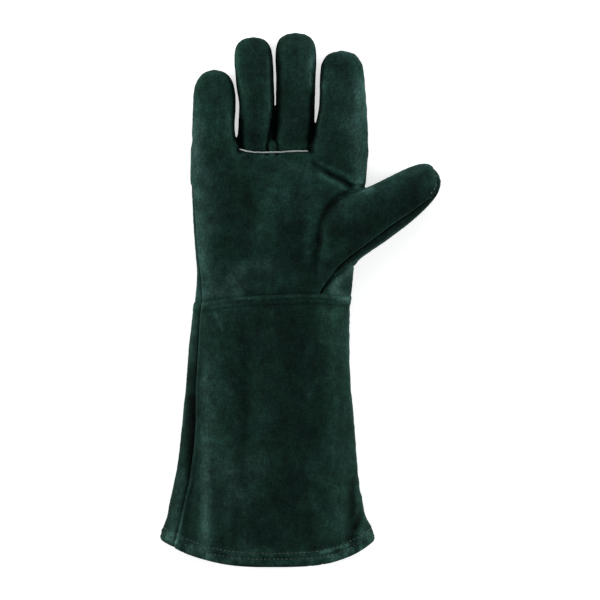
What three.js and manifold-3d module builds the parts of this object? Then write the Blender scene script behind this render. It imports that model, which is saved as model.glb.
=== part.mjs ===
// Elbow-length welding glove for the right hand, lying on its back with the palm up.
// Millimetres, +Z up, +Y towards the fingertips, +X towards the thumb.
import * as THREE from "three";
import { mergeVertices } from "three/addons/utils/BufferGeometryUtils.js";
import Module from "manifold-3d";

const wasm = await Module();
wasm.setup();

// Driving dimensions
const WALL = 2.2; // split leather with its seam allowances
const HEM_DEPTH = 13; // how far the cuff's edge is turned in
const HEM_WALL = 4; // two layers at the turned edge
const SEAM_GAP = 0.3;
const SIDE_SEAM_Z = 15; // height of the seam where it runs along the glove's side
const FORK_TOP_Z = 18; // a forked side strip's seam with the finger fronts
const FORK_UNDER_Z = 8; // and with the finger backs
const WELT_RADIUS = 0.9;
const WELT_SLOT = 2.4; // room between the leather edges for the welt
const CEILING_Z = 90; // above everything
const FLOOR_Z = -10; // below everything
const BULGE = 2.4; // roundness of the cross-sections, 2 is an ellipse
const UNDER_REACH = 2.5; // how far below the table a section would go if it weren't flattened
const HEM_BOW = { left: 2.5, right: 3.4 }; // how squarely the hem bows out to each corner
const FINE_STEPS = 61; // points on a section's curve before it is divided evenly
const LOWEST_CORNER = 0.44 * Math.PI; // where an underside that doesn't touch down turns flat

// Cuff and hand, one row for each section. left and right are the widest points, at the height
// edge, top is the height in the middle, and bow is how far the section bows back along the cuff.
const BODY = [
  { y: -207.5, left: -117.6, right: 63.4, edge: 17, top: 44, bow: 21.1 },
  { y: -202, left: -118.9, right: 62.8, edge: 17, top: 44, bow: 20.0 },
  { y: -194, left: -116.9, right: 60.4, edge: 17, top: 44, bow: 18.2 },
  { y: -186, left: -113.8, right: 56.0, edge: 17, top: 44, bow: 16.2 },
  { y: -176, left: -111.9, right: 54.0, edge: 17, top: 43.5, bow: 13.4 },
  { y: -160, left: -108.3, right: 50.9, edge: 17, top: 43, bow: 9.2 },
  { y: -135, left: -104.3, right: 48.5, edge: 17, top: 42.5, bow: 5 },
  { y: -105, left: -100.8, right: 46.2, edge: 17, top: 42, bow: 1.5 },
  { y: -70, left: -97.7, right: 43.2, edge: 17, top: 41, bow: 0 },
  { y: -35, left: -94.6, right: 42.0, edge: 16, top: 40, bow: 0 },
  { y: -12, left: -92.0, right: 42.2, edge: 16, top: 39, bow: 0 },
  { y: 4, left: -89.4, right: 44.0, edge: 15, top: 38.5, bow: 0 },
  { y: 20, left: -88.2, right: 45.4, edge: 15, top: 38, bow: 0 },
  { y: 42, left: -89.5, right: 47.0, edge: 15, top: 37, bow: 0 },
  { y: 65, left: -91.7, right: 50.6, edge: 15, top: 36, bow: 0 },
  { y: 90, left: -93.0, right: 54.9, edge: 15, top: 34.5, bow: 0 },
  { y: 110, left: -93.4, right: 57.0, edge: 14, top: 33, bow: 0 },
  { y: 124, left: -92.6, right: 57.4, edge: 14, top: 31, bow: 0 },
  { y: 131, left: -90, right: 54, edge: 13.5, top: 28.5, bow: 0 },
  { y: 136, left: -84, right: 48, edge: 13.5, top: 24, bow: 0 },
];

// Fingers, one row for each section, thick is the share of the finger's full thickness.
const FINGERS = {
  little: {
    top: 29,
    rows: [
      { y: 100, left: -91, right: -53.5, edge: 13, thick: 0.9 },
      { y: 132, left: -92.3, right: -54.2, edge: 13, thick: 1 },
      { y: 150, left: -92.1, right: -54.8, edge: 13, thick: 1 },
      { y: 170, left: -91.7, right: -54.9, edge: 13, thick: 0.97 },
      { y: 181, left: -90.6, right: -56.1, edge: 13, thick: 0.9 },
      { y: 188, left: -88.0, right: -58.7, edge: 13, thick: 0.78 },
      { y: 192.5, left: -84.3, right: -62.4, edge: 13, thick: 0.6 },
      { y: 195.3, left: -79.5, right: -67.5, edge: 13, thick: 0.36 },
      { y: 196.5, left: -76, right: -71.5, edge: 13, thick: 0.16 },
    ],
  },
  ring: {
    top: 28,
    rows: [
      { y: 100, left: -50, right: -28, edge: 13, thick: 0.85 },
      { y: 132, left: -50.4, right: -26.6, edge: 13, thick: 0.94 },
      { y: 150, left: -51.1, right: -24.2, edge: 13, thick: 0.97 },
      { y: 165, left: -51.9, right: -22.2, edge: 13, thick: 1 },
      { y: 185, left: -54.4, right: -22.3, edge: 13, thick: 1 },
      { y: 204, left: -56.3, right: -22.9, edge: 13, thick: 0.97 },
      { y: 214, left: -55.5, right: -24.6, edge: 13, thick: 0.86 },
      { y: 220, left: -52.4, right: -27.8, edge: 13, thick: 0.68 },
      { y: 223.4, left: -47.4, right: -32.8, edge: 13, thick: 0.42 },
      { y: 224.6, left: -42.5, right: -37.7, edge: 13, thick: 0.18 },
    ],
  },
  middle: {
    top: 29,
    rows: [
      { y: 100, left: -20.6, right: 8, edge: 13, thick: 0.85 },
      { y: 132, left: -20.6, right: 10.4, edge: 13, thick: 0.94 },
      { y: 150, left: -20.6, right: 12.2, edge: 13, thick: 0.97 },
      { y: 170, left: -20.6, right: 13, edge: 13, thick: 1 },
      { y: 190, left: -20.6, right: 13.3, edge: 13, thick: 1 },
      { y: 208, left: -21.2, right: 13.8, edge: 13, thick: 0.97 },
      { y: 218, left: -20.0, right: 12.6, edge: 13, thick: 0.86 },
      { y: 224, left: -16.8, right: 9.2, edge: 13, thick: 0.68 },
      { y: 227.4, left: -11, right: 3.6, edge: 13, thick: 0.42 },
      { y: 228.6, left: -6, right: -1.4, edge: 13, thick: 0.18 },
    ],
  },
  index: {
    top: 31,
    rows: [
      { y: 100, left: 13.6, right: 55, edge: 14, thick: 0.9 },
      { y: 132, left: 13.4, right: 58.2, edge: 14, thick: 0.96 },
      { y: 150, left: 14.1, right: 57.6, edge: 14, thick: 1 },
      { y: 166, left: 16.3, right: 56.4, edge: 14, thick: 1 },
      { y: 188, left: 17.1, right: 54.8, edge: 14, thick: 0.97 },
      { y: 200, left: 18.2, right: 53.2, edge: 14, thick: 0.87 },
      { y: 206, left: 21.0, right: 50.4, edge: 14, thick: 0.74 },
      { y: 210, left: 25.2, right: 46.6, edge: 14, thick: 0.54 },
      { y: 212, left: 31, right: 40.5, edge: 14, thick: 0.3 },
      { y: 212.7, left: 34, right: 37.5, edge: 14, thick: 0.16 },
    ],
  },
};

// Webs that close the bottom of each gap between two fingers.
const WEBS = {
  little_ring: [
    { y: 105, left: -60, right: -46, edge: 11, top: 22 },
    { y: 128, left: -59, right: -47, edge: 11, top: 20 },
    { y: 136.5, left: -58, right: -48, edge: 9, top: 13 },
  ],
  ring_middle: [
    { y: 105, left: -33, right: -14, edge: 12, top: 27 },
    { y: 127, left: -33, right: -14, edge: 12, top: 25 },
    { y: 145, left: -31, right: -15, edge: 11, top: 17 },
    { y: 158, left: -29, right: -16, edge: 9, top: 12 },
  ],
  middle_index: [
    { y: 105, left: 5, right: 21, edge: 12, top: 26 },
    { y: 130, left: 6, right: 20, edge: 12, top: 22 },
    { y: 148, left: 7, right: 20, edge: 10, top: 14 },
  ],
};

// Thumb, measured along its own axis from its root in the palm.
const THUMB_ROOT = new THREE.Vector2(18.9, 45.6);
const THUMB_TURN = THREE.MathUtils.degToRad(29.6 - 90); // from +Y to the thumb's direction
const THUMB = [
  { y: -9, left: -17, right: 20, edge: 20, top: 32 },
  { y: -2, left: -23, right: 24, edge: 20, top: 38 },
  { y: 12, left: -28, right: 26, edge: 19, top: 42 },
  { y: 28, left: -29.5, right: 24.9, edge: 18, top: 43 },
  { y: 42, left: -28.5, right: 24, edge: 18, top: 42 },
  { y: 52, left: -25.8, right: 23.2, edge: 18, top: 41 },
  { y: 66, left: -24.2, right: 21.2, edge: 18, top: 39.5 },
  { y: 80, left: -23.5, right: 18.8, edge: 18, top: 37.5 },
  { y: 92, left: -22.6, right: 15.9, edge: 18, top: 35 },
  { y: 101, left: -21.4, right: 12.8, edge: 18, top: 32.5 },
  { y: 108, left: -19.2, right: 9.2, edge: 18, top: 29.5 },
  { y: 113, left: -16.2, right: 5, edge: 18, top: 26.5 },
  { y: 116, left: -11.8, right: 0.6, edge: 18, top: 22.6 },
  { y: 117, left: -8, right: -3.4, edge: 18, top: 19.6 },
];

// Folds and dents of the palm side, each along a line. rise is negative for a valley.
const FOLDS = [
  { name: "index root valley", from: [14, 113], to: [43, 98], rise: -3.6, reach: 4.5 },
  { name: "index root ridge", from: [20, 103], to: [41, 92], rise: 1.2, reach: 4 },
  { name: "thumb root valley, upper", from: [40, 89.5], to: [27, 78], rise: -4.2, reach: 5 },
  { name: "thumb root valley, middle", from: [25, 75], to: [18.5, 62], rise: -3.6, reach: 5 },
  { name: "thumb root valley, lower", from: [18, 58], to: [15.4, 32], rise: -1.8, reach: 6 },
  { name: "palm hollow", from: [-45, 92], to: [-30, 50], rise: -3.2, reach: 22 },
  { name: "heel of the hand", from: [-68, 70], to: [-64, 25], rise: 1.6, reach: 16 },
  { name: "left drape of the cuff", from: [-84, -120], to: [-82, -205], rise: 1.6, reach: 8 },
  { name: "left hollow of the cuff", from: [-68, -90], to: [-66, -200], rise: -1.8, reach: 12 },
  { name: "middle hollow of the cuff", from: [-20, -60], to: [-18, -150], rise: -1.5, reach: 26 },
  { name: "right drape of the cuff", from: [30, -110], to: [34, -200], rise: 1.4, reach: 7 },
  { name: "right pinch of the cuff", from: [50, -176], to: [46, -192], rise: -3, reach: 8 },
  { name: "wrist seam sink", from: [-86, -1], to: [45, 3], rise: -0.9, reach: 5 },
];

// Seam lines in plan
const SIDE_SEAM_HAND = [
  [-84.0, -2.0],
  [-84.8, 12.2],
  [-87.2, 32.0],
  [-89.1, 50.8],
  [-90.6, 74.0],
  [-92.4, 96.2],
];
const SIDE_SEAM_CUFF = [
  [-84.4, 6.0],
  [-84.2, -2.4],
  [-86.6, -14.4],
  [-87.4, -34.9],
  [-90.2, -79.5],
  [-90.8, -123.2],
  [-95.1, -156.6],
  [-102.5, -186.6],
  [-108.0, -210.6],
  [-112.0, -240.0],
];
const WRIST_SEAM = [
  [-140, -2.4],
  [-84.0, -2.4],
  [-64.3, 1.1],
  [-42.9, 2.8],
  [0.0, 4.5],
  [17.7, 4.6],
  [30.9, 2.8],
  [140, 1.0],
];
const WELT_LINE = [
  [-51.8, 128.6],
  [-45.0, 126.4],
  [-38.6, 125.6],
  [-19.7, 125.6],
  [-8.0, 126.4],
  [6.9, 126.6],
];
const LITTLE_RING_GAP = [
  [-53.1, 134],
  [-53.1, 150],
  [-53.4, 165],
  [-56.0, 185],
  [-58.2, 204],
  [-58.2, 240],
];
const RING_MIDDLE_GAP = -21.5;
const INDEX_INNER_EDGE = [
  [11.5, 136.5],
  [14.2, 148],
  [15.0, 160],
  [15.4, 240],
];
const TONGUE = [
  [-29.2, 127.2],
  [-18.9, 127.2],
  [-21.4, 140],
  [-21.4, 162],
  [-22.6, 162],
  [-25.8, 146],
];
const THUMB_SEAM = [
  [124.0, 86.5],
  [111.4, 85.1],
  [94.3, 72.6],
  [77.1, 61.1],
  [62.6, 49.9],
  [45.0, 37.1],
  [33.0, 27.0],
  [23.7, 15.6],
  [17.7, 6.2],
];
const THUMB_BACK_EDGE = [
  [17.4, 4.5],
  [20.8, 8.0],
  [28.3, 16.5],
  [35.1, 22.5],
  [44.2, 30.6],
];
const THUMB_UNDER_EDGE = [
  [50.0, 24.0],
  [44.2, 30.6],
  [47.5, 60.0],
  [48.9, 93.4],
];

const matt = (shade) =>
  new THREE.MeshStandardMaterial({ color: shade, roughness: 0.95, metalness: 0 });
const PALM_GREEN = 0x1c332d;
const CUFF_GREEN = 0x1a302a;
const WELT_WHITE = 0xc9cdc8;

// Value of a column at a station along the rows, with a smooth tangent at each row.
function columnAt(rows, key, y) {
  const last = rows.length - 1;
  if (y <= rows[0].y) return rows[0][key];
  if (y >= rows[last].y) return rows[last][key];
  const i = rows.findIndex((row, k) => k < last && y <= rows[k + 1].y);
  const slope = (k) => {
    const before = rows[Math.max(k - 1, 0)];
    const after = rows[Math.min(k + 1, last)];
    return (after[key] - before[key]) / (after.y - before.y);
  };
  const span = rows[i + 1].y - rows[i].y;
  const t = (y - rows[i].y) / span;
  const a = rows[i][key];
  const b = rows[i + 1][key];
  return (
    a * (2 * t ** 3 - 3 * t ** 2 + 1) +
    b * (3 * t ** 2 - 2 * t ** 3) +
    slope(i) * span * (t ** 3 - 2 * t ** 2 + t) +
    slope(i + 1) * span * (t ** 3 - t ** 2)
  );
}

function distanceToLine(x, y, from, to) {
  const dx = to[0] - from[0];
  const dy = to[1] - from[1];
  const share = ((x - from[0]) * dx + (y - from[1]) * dy) / (dx * dx + dy * dy);
  const t = Math.min(1, Math.max(0, share));
  return Math.hypot(x - from[0] - t * dx, y - from[1] - t * dy);
}

// How far the folds and dents lift or sink the palm side at a place in plan.
function relief(x, y) {
  let rise = 0;
  for (const fold of FOLDS) {
    const d = distanceToLine(x, y, fold.from, fold.to) / fold.reach;
    rise += fold.rise * Math.exp(-d * d);
  }
  return rise;
}

// Points along an open line, count of them, at even distances.
function spread(line, count) {
  const lengths = [0];
  for (let i = 1; i < line.length; i++)
    lengths.push(lengths[i - 1] + line[i].distanceTo(line[i - 1]));
  const total = lengths[lengths.length - 1];
  const points = [];
  for (let k = 0; k < count; k++) {
    const at = (k / (count - 1)) * total;
    let i = lengths.findIndex((length) => length >= at - 1e-9);
    if (i < 1) i = 1;
    const t = (at - lengths[i - 1]) / (lengths[i] - lengths[i - 1]);
    points.push(line[i - 1].clone().lerp(line[i], t));
  }
  return points;
}

// Share of a section's bow at a place across it, from -1 at the left edge to 1 at the right.
function bowShare(across) {
  return 1 - Math.abs(across) ** (across < 0 ? HEM_BOW.left : HEM_BOW.right);
}

// Closed loop of one cross-section, from the left edge over the palm side and back underneath.
// x runs across, y is the bow, z is height. inset moves every wall inwards by that much. Where it
// rests on the table the underside is flat.
function sectionLoop(section, inset, topCount, underSteps) {
  const half = (section.right - section.left) / 2 - inset;
  const middle = (section.right + section.left) / 2;
  const curved = (value) => Math.sign(value) * Math.abs(value) ** (2 / BULGE);
  const spot = (angle, height) => {
    const across = curved(Math.cos(angle));
    const z = section.edge + height * curved(Math.sin(angle));
    const bow = section.bow * bowShare(across);
    return new THREE.Vector3(middle + half * across, -bow, Math.max(z, inset));
  };
  const rise = section.top - inset - section.edge;
  const drop = section.under + inset - section.edge;
  const top = spread(
    range(Math.PI, 0, FINE_STEPS).map((angle) => spot(angle, rise)),
    topCount,
  );
  const landing = Math.min(1, (inset - section.edge) / drop) ** (BULGE / 2);
  const corner = Math.min(Math.asin(landing), LOWEST_CORNER);
  const turns = range(0, corner, underSteps + 1).slice(1);
  const right = turns.map((turn) => spot(turn, drop));
  const left = turns.map((turn) => spot(Math.PI - turn, drop));
  return [...top, ...right, ...left.toReversed()];
}

// Closed solid lofted through a limb's sections at the given stations.
function loft(rows, stations, place, inset, topCount, underSteps) {
  const loops = stations.map(({ y, at }) => {
    const section = {};
    for (const key of Object.keys(rows[0])) section[key] = columnAt(rows, key, at);
    section.y = y;
    section.bow ??= 0;
    section.under ??= -UNDER_REACH;
    return sectionLoop(section, inset, topCount, underSteps).map((point, k) => {
      const spot = place(point.x, point.y + y);
      const lift = k < topCount ? relief(spot.x, spot.y) : 0;
      const above = Math.max(0, point.z - section.edge) / (section.top - section.edge);
      return new THREE.Vector3(spot.x, spot.y, point.z + lift * Math.min(1, above));
    });
  });
  return solidFromLoops(loops);
}

// Solid from a row of closed loops with the same number of points, its ends closed by fans.
function solidFromLoops(loops) {
  const size = loops[0].length;
  const points = loops.flat();
  const faces = [];
  for (let i = 0; i + 1 < loops.length; i++)
    for (let k = 0; k < size; k++) {
      const a = i * size + k;
      const b = i * size + ((k + 1) % size);
      faces.push([a, b, a + size], [b, b + size, a + size]);
    }
  const ends = [
    [0, false],
    [loops.length - 1, true],
  ];
  for (const [index, last] of ends) {
    const centre = points.length;
    const middle = new THREE.Vector3();
    for (const point of loops[index]) middle.add(point);
    points.push(middle.divideScalar(size));
    for (let k = 0; k < size; k++) {
      const a = index * size + k;
      const b = index * size + ((k + 1) % size);
      faces.push(last ? [centre, a, b] : [centre, b, a]);
    }
  }
  const vertProperties = new Float32Array(points.flatMap((p) => [p.x, p.y, p.z]));
  const triVerts = new Uint32Array(faces.flat());
  return new wasm.Manifold(new wasm.Mesh({ numProp: 3, vertProperties, triVerts }));
}

function solidFromGeometry(geometry) {
  geometry.deleteAttribute("normal");
  geometry.deleteAttribute("uv");
  const merged = mergeVertices(geometry, 1e-4);
  const vertProperties = new Float32Array(merged.attributes.position.array);
  const triVerts = new Uint32Array(merged.index.array);
  return new wasm.Manifold(new wasm.Mesh({ numProp: 3, vertProperties, triVerts }));
}

// Upright prism over a closed outline.
function prism(outline, low, high) {
  const shape = new THREE.Shape(outline.map(([x, y]) => new THREE.Vector2(x, y)));
  const geometry = new THREE.ExtrudeGeometry(shape, { depth: high - low, bevelEnabled: false });
  geometry.translate(0, 0, low);
  return solidFromGeometry(geometry);
}

// A closed outline moved outwards by a small distance.
function grown(outline, distance) {
  const area = THREE.ShapeUtils.area(outline.map(([x, y]) => new THREE.Vector2(x, y)));
  const turn = Math.sign(area);
  return outline.map(([x, y], i) => {
    const [px, py] = outline[(i + outline.length - 1) % outline.length];
    const [nx, ny] = outline[(i + 1) % outline.length];
    const before = new THREE.Vector2(y - py, px - x).normalize().multiplyScalar(turn);
    const after = new THREE.Vector2(ny - y, x - nx).normalize().multiplyScalar(turn);
    const mean = before.clone().add(after).normalize();
    const reach = distance / Math.max(0.4, mean.dot(before));
    return [x + mean.x * reach, y + mean.y * reach];
  });
}

const block = (left, right, near, far) => [
  [left, near],
  [right, near],
  [right, far],
  [left, far],
];

const range = (from, to, count) =>
  Array.from({ length: count }, (unused, k) => from + ((to - from) * k) / (count - 1));

// Outer and inner forms

const alongGlove = (x, y) => new THREE.Vector2(x, y);
const alongThumb = (x, y) =>
  new THREE.Vector2(x, y).rotateAround(new THREE.Vector2(0, 0), THUMB_TURN).add(THUMB_ROOT);

const same = (stations) => stations.map((y) => ({ y, at: y }));
const firstY = (rows) => rows[0].y;
const lastY = (rows) => rows[rows.length - 1].y;

function fingerRows(finger) {
  return finger.rows.map((row) => ({
    y: row.y,
    left: row.left,
    right: row.right,
    edge: row.edge,
    top: row.edge + (finger.top - row.edge) * row.thick,
    under: row.edge - (row.edge + UNDER_REACH) * row.thick,
  }));
}

// Stations of a closed-ended limb. Inside, its tip stops short by the wall.
function tippedStations(rows, count, inset) {
  const shorter = (lastY(rows) - inset - firstY(rows)) / (lastY(rows) - firstY(rows));
  const straight = range(firstY(rows), rows[rows.length - 5].y, count);
  const tip = rows.slice(-4).map((row) => row.y);
  return [...straight, ...tip].map((y) => ({
    y: firstY(rows) + (y - firstY(rows)) * shorter,
    at: y,
  }));
}

const cuffStations = [...range(firstY(BODY), -176, 5), ...range(-160, -20, 7)];
const handStations = [...range(-8, 124, 19), 128, 131, 134, lastY(BODY)];
let outer = loft(BODY, same([...cuffStations, ...handStations]), alongGlove, 0, 25, 3);
let inner = loft(
  BODY,
  [
    ...same([firstY(BODY), -190, ...range(-178, -20, 5), ...range(-6, 122, 11)]),
    { y: 133 - WALL, at: 133 },
  ],
  alongGlove,
  WALL,
  15,
  2,
);

for (const finger of Object.values(FINGERS)) {
  const rows = fingerRows(finger);
  outer = outer.add(loft(rows, tippedStations(rows, 6, 0), alongGlove, 0, 11, 3));
  inner = inner.add(loft(rows, tippedStations(rows, 4, WALL), alongGlove, WALL, 9, 2));
}
for (const rows of Object.values(WEBS)) {
  const shorter = rows.map((row, i) => ({ y: i + 1 < rows.length ? row.y : row.y - WALL, at: row.y }));
  outer = outer.add(loft(rows, same(rows.map((row) => row.y)), alongGlove, 0, 7, 2));
  inner = inner.add(loft(rows, shorter, alongGlove, WALL, 7, 2));
}
outer = outer.add(loft(THUMB, tippedStations(THUMB, 10, 0), alongThumb, 0, 15, 4));
inner = inner.add(loft(THUMB, tippedStations(THUMB, 6, WALL), alongThumb, WALL, 11, 3));

// The hem is two layers thick, so the hollow narrows there.
const HEM = BODY[0];
const hemMiddle = (HEM.left + HEM.right) / 2;
const hemHalf = (HEM.right - HEM.left) / 2;
const hemLine = range(-1, 1, 17).map((share) => [
  hemMiddle + hemHalf * share,
  HEM.y + HEM_DEPTH - HEM.bow * bowShare(share),
]);
const hemOutline = [...hemLine, [100, -190], [100, -260], [-140, -260], [-140, -190]];
const hemZone = prism(hemOutline, FLOOR_Z, CEILING_Z);
const hemHollow = loft(
  BODY,
  [
    { y: HEM.y - HEM_DEPTH, at: HEM.y },
    ...same([HEM.y, -186, -176]),
  ],
  alongGlove,
  HEM_WALL,
  15,
  2,
);
const hollow = inner.subtract(hemZone).add(hemHollow);
const shell = outer.subtract(hollow);

// Regions that each piece of leather covers, as outlines with a lowest and highest level.
const forkRegion = (left, right) => ({
  outline: block(left, right, 124, 240),
  low: FORK_UNDER_Z,
  high: FORK_TOP_Z,
});
const handPieces = [
  ["fourchette_little_ring", [forkRegion(-73.6, -40.2)]],
  [
    "fourchette_ring_middle",
    [forkRegion(-39.8, -3.9), { outline: TONGUE, low: FORK_UNDER_Z, high: CEILING_Z }],
  ],
  ["fourchette_middle_index", [forkRegion(-3.5, 35.8)]],
  [
    "palm_panel",
    [
      {
        outline: [
          ...SIDE_SEAM_HAND,
          [-97, 100],
          [-110, 118],
          [-110, 240],
          ...LITTLE_RING_GAP.toReversed(),
          ...WELT_LINE.map(([x, y]) => [x, y - WELT_SLOT / 2]),
          ...INDEX_INNER_EDGE,
          [130, 240],
          ...THUMB_SEAM,
          [16, -8],
          [-83.8, -8],
        ],
        low: SIDE_SEAM_Z,
        high: CEILING_Z,
      },
    ],
  ],
  [
    "ring_finger_front",
    [
      {
        outline: [
          [-53.1, 125],
          [RING_MIDDLE_GAP, 125],
          [RING_MIDDLE_GAP, 240],
          ...LITTLE_RING_GAP.toReversed(),
        ],
        low: FORK_TOP_Z,
        high: CEILING_Z,
      },
    ],
  ],
  [
    "middle_finger_front",
    [{ outline: block(RING_MIDDLE_GAP + 0.1, 15, 125, 240), low: FORK_TOP_Z, high: CEILING_Z }],
  ],
  [
    "thumb_back",
    [
      {
        outline: [...THUMB_BACK_EDGE, [52, 32], [52, 70], [10, 70], [10, 4.5]],
        low: FORK_UNDER_Z,
        high: CEILING_Z,
      },
      {
        outline: [...THUMB_UNDER_EDGE, [56, 125], [140, 125], [140, 20]],
        low: FLOOR_Z,
        high: CEILING_Z,
      },
    ],
  ],
];

const cover = (region, growth) =>
  region
    .map(({ outline, low, high }) =>
      prism(growth ? grown(outline, growth) : outline, low - growth, high + growth),
    )
    .reduce((whole, part) => whole.add(part));

const handZone = prism([...WRIST_SEAM, [140, 260], [-140, 260]], FLOOR_Z, CEILING_Z);
const cuffOutline = [...WRIST_SEAM.map(([x, y]) => [x, y - SEAM_GAP]), [140, -260], [-140, -260]];
const cuffZone = prism(cuffOutline, FLOOR_Z, CEILING_Z);

// The welt lies in its slot, level with the leather of the palm.
const bodyHeight = (x, y) => {
  const row = {};
  for (const key of ["left", "right", "edge", "top"]) row[key] = columnAt(BODY, key, y);
  const share = (x - (row.left + row.right) / 2) / ((row.right - row.left) / 2);
  const dome = (1 - Math.abs(share) ** BULGE) ** (1 / BULGE);
  return row.edge + (row.top - row.edge) * dome + relief(x, y);
};
const weltCurve = new THREE.CatmullRomCurve3(
  WELT_LINE.map(([x, y]) => new THREE.Vector3(x, y, bodyHeight(x, y) - WELT_RADIUS)),
);
const weltSection = new THREE.Shape().absarc(0, 0, WELT_RADIUS, 0, 2 * Math.PI);
const weltSolid = solidFromGeometry(
  new THREE.ExtrudeGeometry(weltSection, { extrudePath: weltCurve, steps: 16, curveSegments: 3 }),
);
const slotLine = [[-52.6, 129.0], ...WELT_LINE, [7.8, 126.6]];
const weltSlot = prism(
  [
    ...slotLine.map(([x, y]) => [x, y - WELT_SLOT / 2]),
    ...slotLine.map(([x, y]) => [x, y + WELT_SLOT / 2]).reverse(),
  ],
  SIDE_SEAM_Z,
  CEILING_Z,
);

const glove = new THREE.Group();

// The cuts can leave specks of leather thinner than a hair, so a piece is its largest body.
function addPiece(name, solid, colour) {
  const bodies = solid.decompose().toSorted((a, b) => b.volume() - a.volume());
  const mesh = bodies[0].getMesh();
  const geometry = new THREE.BufferGeometry();
  const positions = new Float32Array(mesh.numVert * 3);
  for (let i = 0; i < mesh.numVert; i++)
    positions.set(mesh.vertProperties.subarray(i * mesh.numProp, i * mesh.numProp + 3), i * 3);
  geometry.setAttribute("position", new THREE.BufferAttribute(positions, 3));
  geometry.setIndex(new THREE.BufferAttribute(mesh.triVerts, 1));
  const piece = new THREE.Mesh(geometry, matt(colour));
  piece.name = name;
  glove.add(piece);
}

let hand = shell.intersect(handZone).subtract(weltSlot);
for (const [name, region] of handPieces) {
  addPiece(name, hand.intersect(cover(region, 0)), PALM_GREEN);
  hand = hand.subtract(cover(region, SEAM_GAP));
}
addPiece("back_panel", hand, PALM_GREEN);

const cuff = shell.intersect(cuffZone);
const cuffFrontRegion = [
  { outline: [...SIDE_SEAM_CUFF, [80, -240], [80, 6]], low: SIDE_SEAM_Z, high: CEILING_Z },
];
addPiece("cuff_front", cuff.intersect(cover(cuffFrontRegion, 0)), CUFF_GREEN);
addPiece("cuff_back", cuff.subtract(cover(cuffFrontRegion, SEAM_GAP)), CUFF_GREEN);
addPiece("welt", weltSolid, WELT_WHITE);

export default glove;
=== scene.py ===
"""Look of an elbow-length welding glove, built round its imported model."""

import functools
import itertools
import math

import bpy
import numpy as np
from bpy.props import FloatProperty, FloatVectorProperty, PointerProperty
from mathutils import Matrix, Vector, kdtree


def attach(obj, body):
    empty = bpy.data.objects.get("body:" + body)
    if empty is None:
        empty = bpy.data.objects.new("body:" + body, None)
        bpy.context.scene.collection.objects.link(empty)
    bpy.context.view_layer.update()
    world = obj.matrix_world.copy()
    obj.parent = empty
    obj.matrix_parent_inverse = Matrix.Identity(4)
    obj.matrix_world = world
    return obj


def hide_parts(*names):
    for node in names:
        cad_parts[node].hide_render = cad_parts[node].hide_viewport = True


bl_info = {
    "name": "Welding Glove",
    "version": (1, 0, 0),
    "blender": (4, 5, 0),
    "location": "View3D > Sidebar > Glove",
    "description": "Builds a suede gauntlet glove piece by piece",
    "category": "Add Mesh",
}

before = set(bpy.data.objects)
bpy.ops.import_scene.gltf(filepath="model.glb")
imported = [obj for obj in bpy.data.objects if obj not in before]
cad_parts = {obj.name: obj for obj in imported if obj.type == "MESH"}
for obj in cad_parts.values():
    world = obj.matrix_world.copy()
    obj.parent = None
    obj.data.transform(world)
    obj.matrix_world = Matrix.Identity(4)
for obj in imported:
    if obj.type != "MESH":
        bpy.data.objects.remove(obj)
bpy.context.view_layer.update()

# The tables are in millimetres, as the glove's patterns are. Objects are in metres.
MM = 0.001

# Sizes that the glove's source has too
WALL = 2.2
HEM_DEPTH = 13.0  # how far the cuff's edge is turned in
HEM_WALL = 4.0
SIDE_SEAM_Z = 15.0  # height of the seam that runs along the glove's side
FORK_TOP_Z = 18.0  # a forked side strip's seam with the finger fronts
FORK_UNDER_Z = 8.0  # and with the finger backs
BULGE = 2.4  # roundness of the cross-sections, 2 is an ellipse
UNDER_REACH = 2.5  # how far below the table a section would go if it weren't flattened
HEM_BOW = (2.5, 3.4)  # how squarely the hem bows out to its left and right corners
SKY = 90.0  # above everything
GROUND = -10.0  # below everything


def table(columns, *rows):
    """Rows of numbers as one array for each named column."""
    return dict(zip(columns.split(), np.array(rows, float).T))


# Cuff and hand. left and right are the widest points, at the height edge, top is the height in
# the middle, and bow is how far a section bows back along the cuff.
BODY = table(
    "y left right edge top bow",
    (-207.5, -117.6, 63.4, 17, 44, 21.1),
    (-202, -118.9, 62.8, 17, 44, 20.0),
    (-194, -116.9, 60.4, 17, 44, 18.2),
    (-186, -113.8, 56.0, 17, 44, 16.2),
    (-176, -111.9, 54.0, 17, 43.5, 13.4),
    (-160, -108.3, 50.9, 17, 43, 9.2),
    (-135, -104.3, 48.5, 17, 42.5, 5),
    (-105, -100.8, 46.2, 17, 42, 1.5),
    (-70, -97.7, 43.2, 17, 41, 0),
    (-35, -94.6, 42.0, 16, 40, 0),
    (-12, -92.0, 42.2, 16, 39, 0),
    (4, -89.4, 44.0, 15, 38.5, 0),
    (20, -88.2, 45.4, 15, 38, 0),
    (42, -89.5, 47.0, 15, 37, 0),
    (65, -91.7, 50.6, 15, 36, 0),
    (90, -93.0, 54.9, 15, 34.5, 0),
    (110, -93.2, 56.8, 14, 33, 0),
    (124, -91.9, 56.6, 14, 31, 0),
    (131, -90, 54, 13.5, 28.5, 0),
    (136, -84, 48, 13.5, 24, 0),
)

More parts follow.
